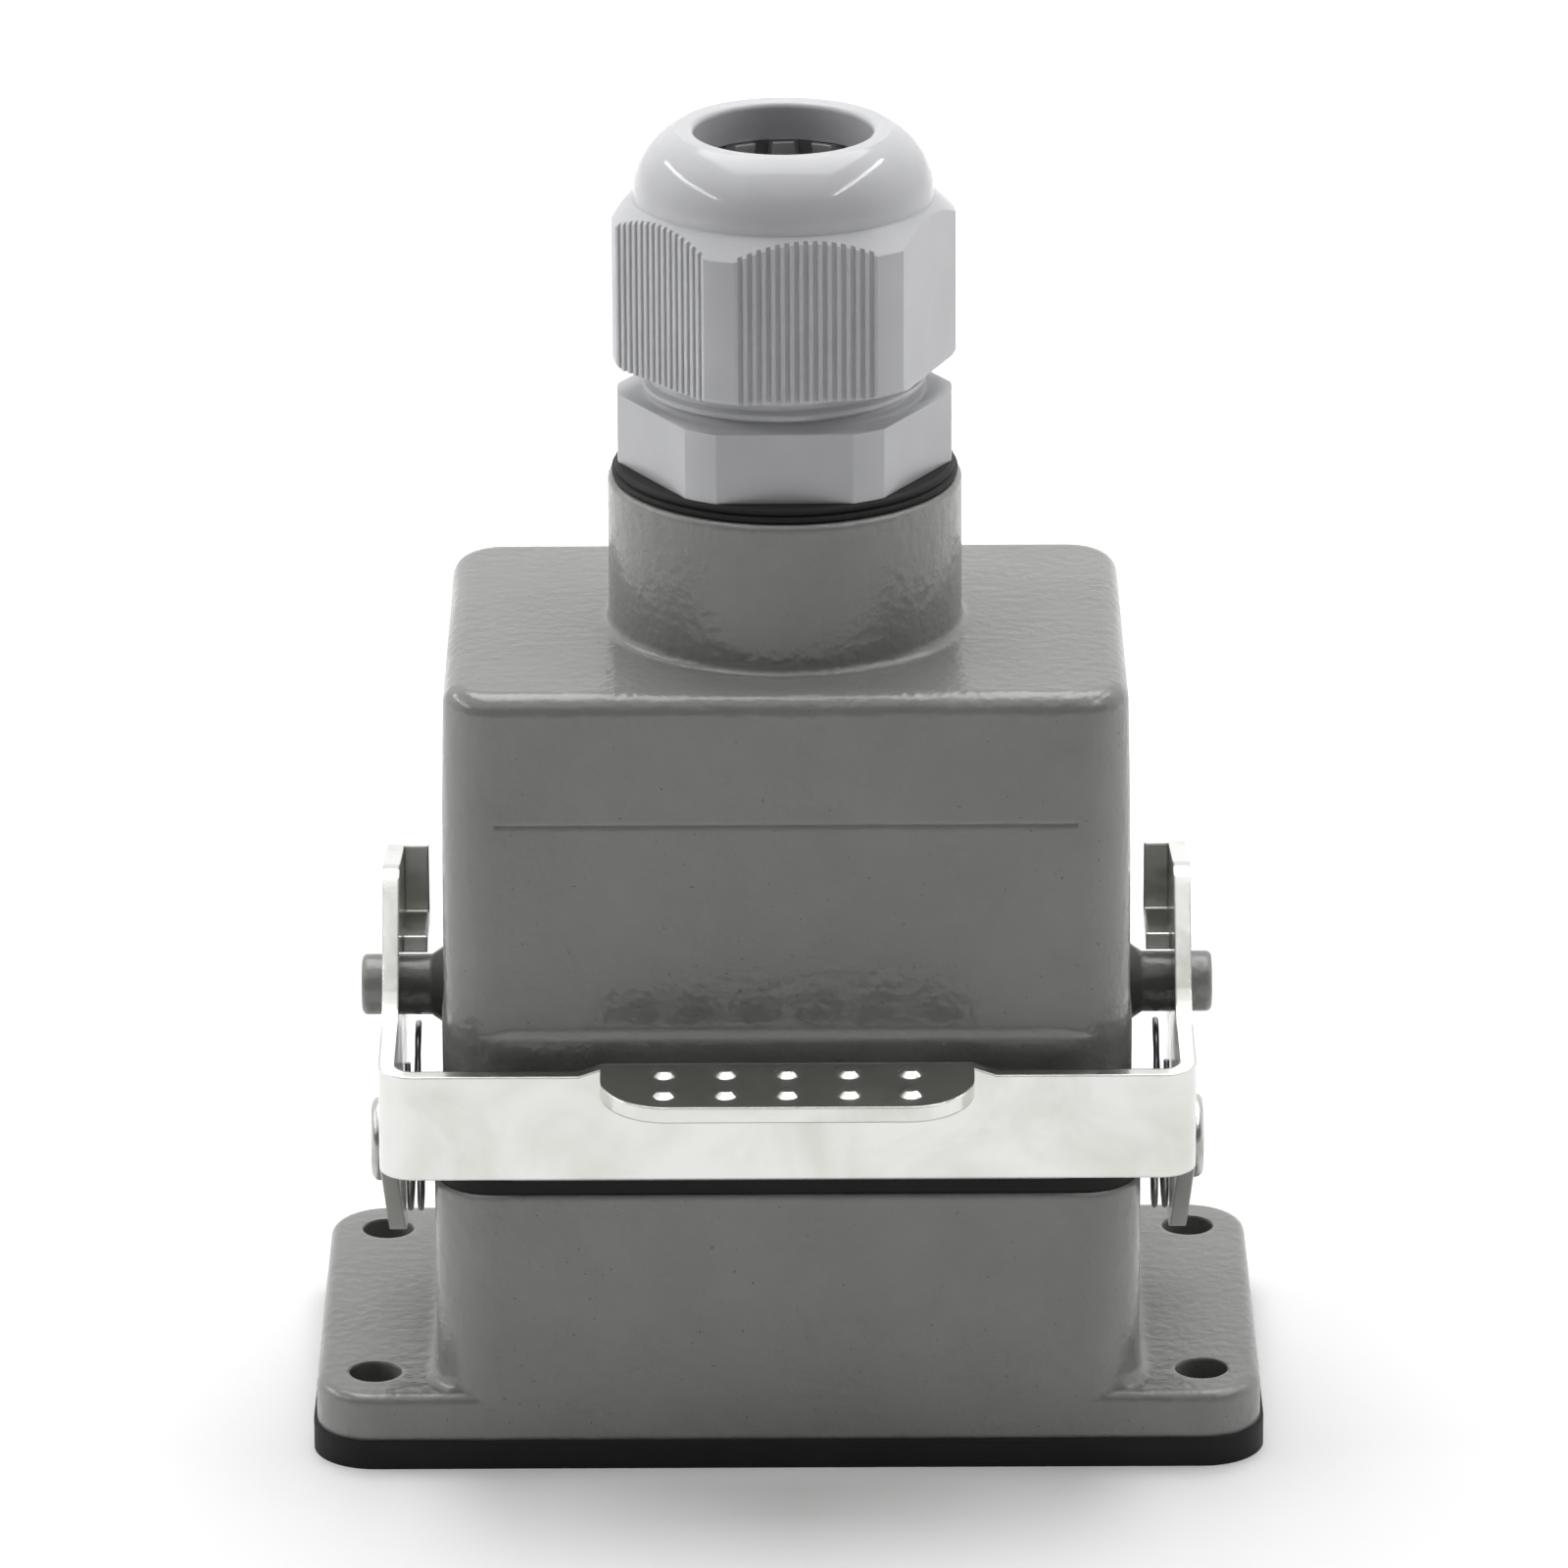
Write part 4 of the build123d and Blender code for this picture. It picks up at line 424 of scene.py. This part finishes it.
nylons = {}
for name, (colour, flow_colour) in NYLONS.items():
    nylon, tree, shader, point = new_material(
        name, Specular_IOR_Level=0.3, Subsurface_Weight=0.4,
        Subsurface_Scale=NYLON_LIGHT_REACH, Subsurface_Radius=(1.0, 1.0, 1.0))
    streaks = noise(tree, point, NYLON_FLOW_PER_METRE, detail=3.0)
    flow = spread(tree, streaks, *NYLON_FLOW_RANGE)
    edge = place_group(tree, bevel_edge_mask, {"Radius": NYLON_SOFT_EDGE})
    tree.links.new(blend_colour(tree, flow, colour, flow_colour), shader["Base Color"])
    height = add_node(tree, "ShaderNodeSeparateXYZ", {"Vector": point}).outputs["Z"]
    satin = spread(tree, flow, 0.0, 1.0, *NYLON_ROUGHNESS)
    polish = spread(tree, height, DOME_START, DOME_END)
    tree.links.new(blend_value(tree, polish, satin, DOME_ROUGHNESS), shader["Roughness"])
    grain = noise(tree, point, NYLON_SKIN_PER_METRE, detail=2.0)
    skin = relief(tree, grain, edge["Normal"], strength=0.4, depth=NYLON_SKIN_DEPTH)
    tree.links.new(skin, shader["Normal"])
    nylons[name] = nylon
dress(nylons["grey_nylon"], "gland_nut")
# The claw gets the paler copy, painted light on teeth that sit in shade.
dress(nylons["claw_nylon_painted_light"], "gland_claw")


def ring_at(shape, height):
    """The points of the thread's cylinder at this height, in order round it."""
    ring = [v for v in shape.verts if abs(v.co.z - height) < SAME_PLACE
            and abs(math.hypot(v.co.x, v.co.y) - THREAD_RADIUS) < SAME_PLACE]
    return sorted(ring, key=lambda v: math.atan2(v.co.y, v.co.x))


def groove_share(height, angle):
    """How deep the thread's groove is here, from 0 on the crest to 1 at the root."""
    phase = height / THREAD_PITCH - angle / (2 * math.pi)
    from_ends = min(height - THREAD_BOTTOM, THREAD_TOP - height) / THREAD_RUN_IN
    wave = 0.5 - THREAD_FLANK * math.cos(2 * math.pi * phase)
    return max(0.0, min(1.0, wave)) * min(1.0, from_ends)


# The body keeps its own shape; only the plain cylinder of the clamping thread is cut as a thread.
shape = bmesh.new()
shape.from_mesh(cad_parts["gland_body"].data)
bmesh.ops.remove_doubles(shape, verts=shape.verts, dist=SAME_PLACE / 10)
plain_side = [f for f in shape.faces if abs(f.normal.z) < UPRIGHT and all(
    abs(math.hypot(v.co.x, v.co.y) - THREAD_RADIUS) < SAME_PLACE
    and v.co.z > THREAD_BOTTOM - SAME_PLACE for v in f.verts)]
bmesh.ops.delete(shape, geom=plain_side, context="FACES")
rings = [ring_at(shape, THREAD_BOTTOM)]
for row in range(1, THREAD_ROWS):
    height = THREAD_BOTTOM + (THREAD_TOP - THREAD_BOTTOM) * row / THREAD_ROWS
    ring = []
    for below in rings[0]:
        angle = math.atan2(below.co.y, below.co.x)
        radius = THREAD_RADIUS - THREAD_DEPTH * groove_share(height, angle)
        ring.append(shape.verts.new((radius * math.cos(angle), radius * math.sin(angle), height)))
    rings.append(ring)
rings.append(ring_at(shape, THREAD_TOP))
for low, high in zip(rings, rings[1:]):
    for here, after in zip(range(-1, len(low) - 1), range(len(low))):
        shape.faces.new((low[here], low[after], high[after], high[here]))
threaded_mesh = bpy.data.meshes.new("gland_body_threaded")
shape.to_mesh(threaded_mesh)
shape.free()
threaded_mesh.shade_smooth()
threaded_mesh.set_sharp_from_angle(angle=SHARP_ANGLE)
threaded_mesh.materials.append(nylons["grey_nylon"])
threaded_body = bpy.data.objects.new("gland_body_threaded", threaded_mesh)
bpy.context.scene.collection.objects.link(threaded_body)
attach(threaded_body, "hood")
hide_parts("gland_body")


# Floor and light
# The connector stands on a white table in a light tent: one broad panel overhead and a softer one
# at each side. The front of the roof and the two tubes along its sides are faint, so they show
# only as reflections, and the tent's open front reflects dark.
TABLE_SIZE = 3.0
TABLE_COLOUR = (0.95, 0.95, 0.95, 1)
TABLE_GLOW = (0.08, 1.00)
TABLE_GLOW_REACH = (0.12, 0.80)
FIRST_SOFT_BOUNCE = 0.5
TENT_WHITE = 1.0
TENT_OPENING = 0.10
TENT_OPENING_EDGE = (-0.35, 0.15)
TENT_SHADE = 0.16
# Each panel: its place, the point that it faces, its size, its power, and whether soft surfaces
# and glossy ones see it.
PANELS = {
    "roof_panel": ((0.0, 0.16, 0.62), (0.0, 0.0, 0.05), (0.55, 0.5), 3.7, True, True),
    "left_panel": ((-0.62, 0.03, 0.30), (0.0, 0.0, 0.05), (0.45, 0.40), 1.6, True, False),
    "right_panel": ((0.62, 0.03, 0.30), (0.0, 0.0, 0.05), (0.45, 0.40), 1.15, True, False),
    "front_roof": ((0.0, -0.34, 0.62), (0.0, -0.34, 0.0), (1.0, 0.48), 1.6, False, True),
    "left_tube": ((-0.65, 0.05, 0.50), (0.0, 0.05, 0.10), (1.05, 0.03), 1.6, False, True),
    "right_tube": ((0.38, -0.04, 0.50), (0.0, -0.04, 0.10), (0.67, 0.025), 0.9, False, True),
}


def seen_directly(tree):
    """Two masks: 1 for what the camera sees straight on, and 1 for what gloss shows it."""
    path = tree.nodes.new("ShaderNodeLightPath").outputs
    mirrored = math_node(tree, "MAXIMUM", path["Is Glossy Ray"], path["Is Transmission Ray"])
    no_soft_bounce = math_node(tree, "LESS_THAN", path["Diffuse Depth"], FIRST_SOFT_BOUNCE)
    return path["Is Camera Ray"], math_node(tree, "MULTIPLY", mirrored, no_soft_bounce)


table_top, tree, shader, point = new_material(
    "white_table", Base_Color=TABLE_COLOUR, Roughness=0.9, Specular_IOR_Level=0.0,
    Emission_Color=(1, 1, 1, 1))
away = add_node(tree, "ShaderNodeVectorMath", {0: point}, operation="LENGTH").outputs["Value"]
glow = spread(tree, away, *TABLE_GLOW_REACH, *TABLE_GLOW)
seen = math_node(tree, "MAXIMUM", *seen_directly(tree))
tree.links.new(math_node(tree, "MULTIPLY", seen, glow), shader["Emission Strength"])
half = TABLE_SIZE / 2
table_mesh = bpy.data.meshes.new("table")
table_mesh.from_pydata([(-half, -half, 0), (half, -half, 0), (half, half, 0), (-half, half, 0)],
                       [], [(0, 1, 2, 3)])
table_mesh.materials.append(table_top)
table = bpy.data.objects.new("table", table_mesh)
bpy.context.scene.collection.objects.link(table)

world = bpy.data.worlds.new("tent")
world.use_nodes = True
bpy.context.scene.world = world
tree = world.node_tree
background = tree.nodes["Background"]
background.inputs["Color"].default_value = (1, 1, 1, 1)
straight, mirrored = seen_directly(tree)
direction = tree.nodes.new("ShaderNodeTexCoord").outputs["Generated"]
towards_back = add_node(tree, "ShaderNodeSeparateXYZ", {"Vector": direction}).outputs["Y"]
walls = spread(tree, towards_back, *TENT_OPENING_EDGE, TENT_OPENING, TENT_WHITE)
soft = blend_value(tree, mirrored, TENT_SHADE, walls)
strength = blend_value(tree, straight, soft, TENT_WHITE)
tree.links.new(strength, background.inputs["Strength"])

for name, (place, target, size, power, lights_soft, lights_glossy) in PANELS.items():
    light = bpy.data.lights.new(name, "AREA")
    light.shape = "RECTANGLE"
    light.size, light.size_y = size
    light.energy = power
    panel = bpy.data.objects.new(name, light)
    panel.location = place
    panel.rotation_euler = (Vector(target) - Vector(place)).to_track_quat("-Z", "Y").to_euler()
    panel.visible_diffuse = lights_soft
    panel.visible_glossy = lights_glossy
    bpy.context.scene.collection.objects.link(panel)

bpy.context.scene.view_settings.view_transform = "Standard"
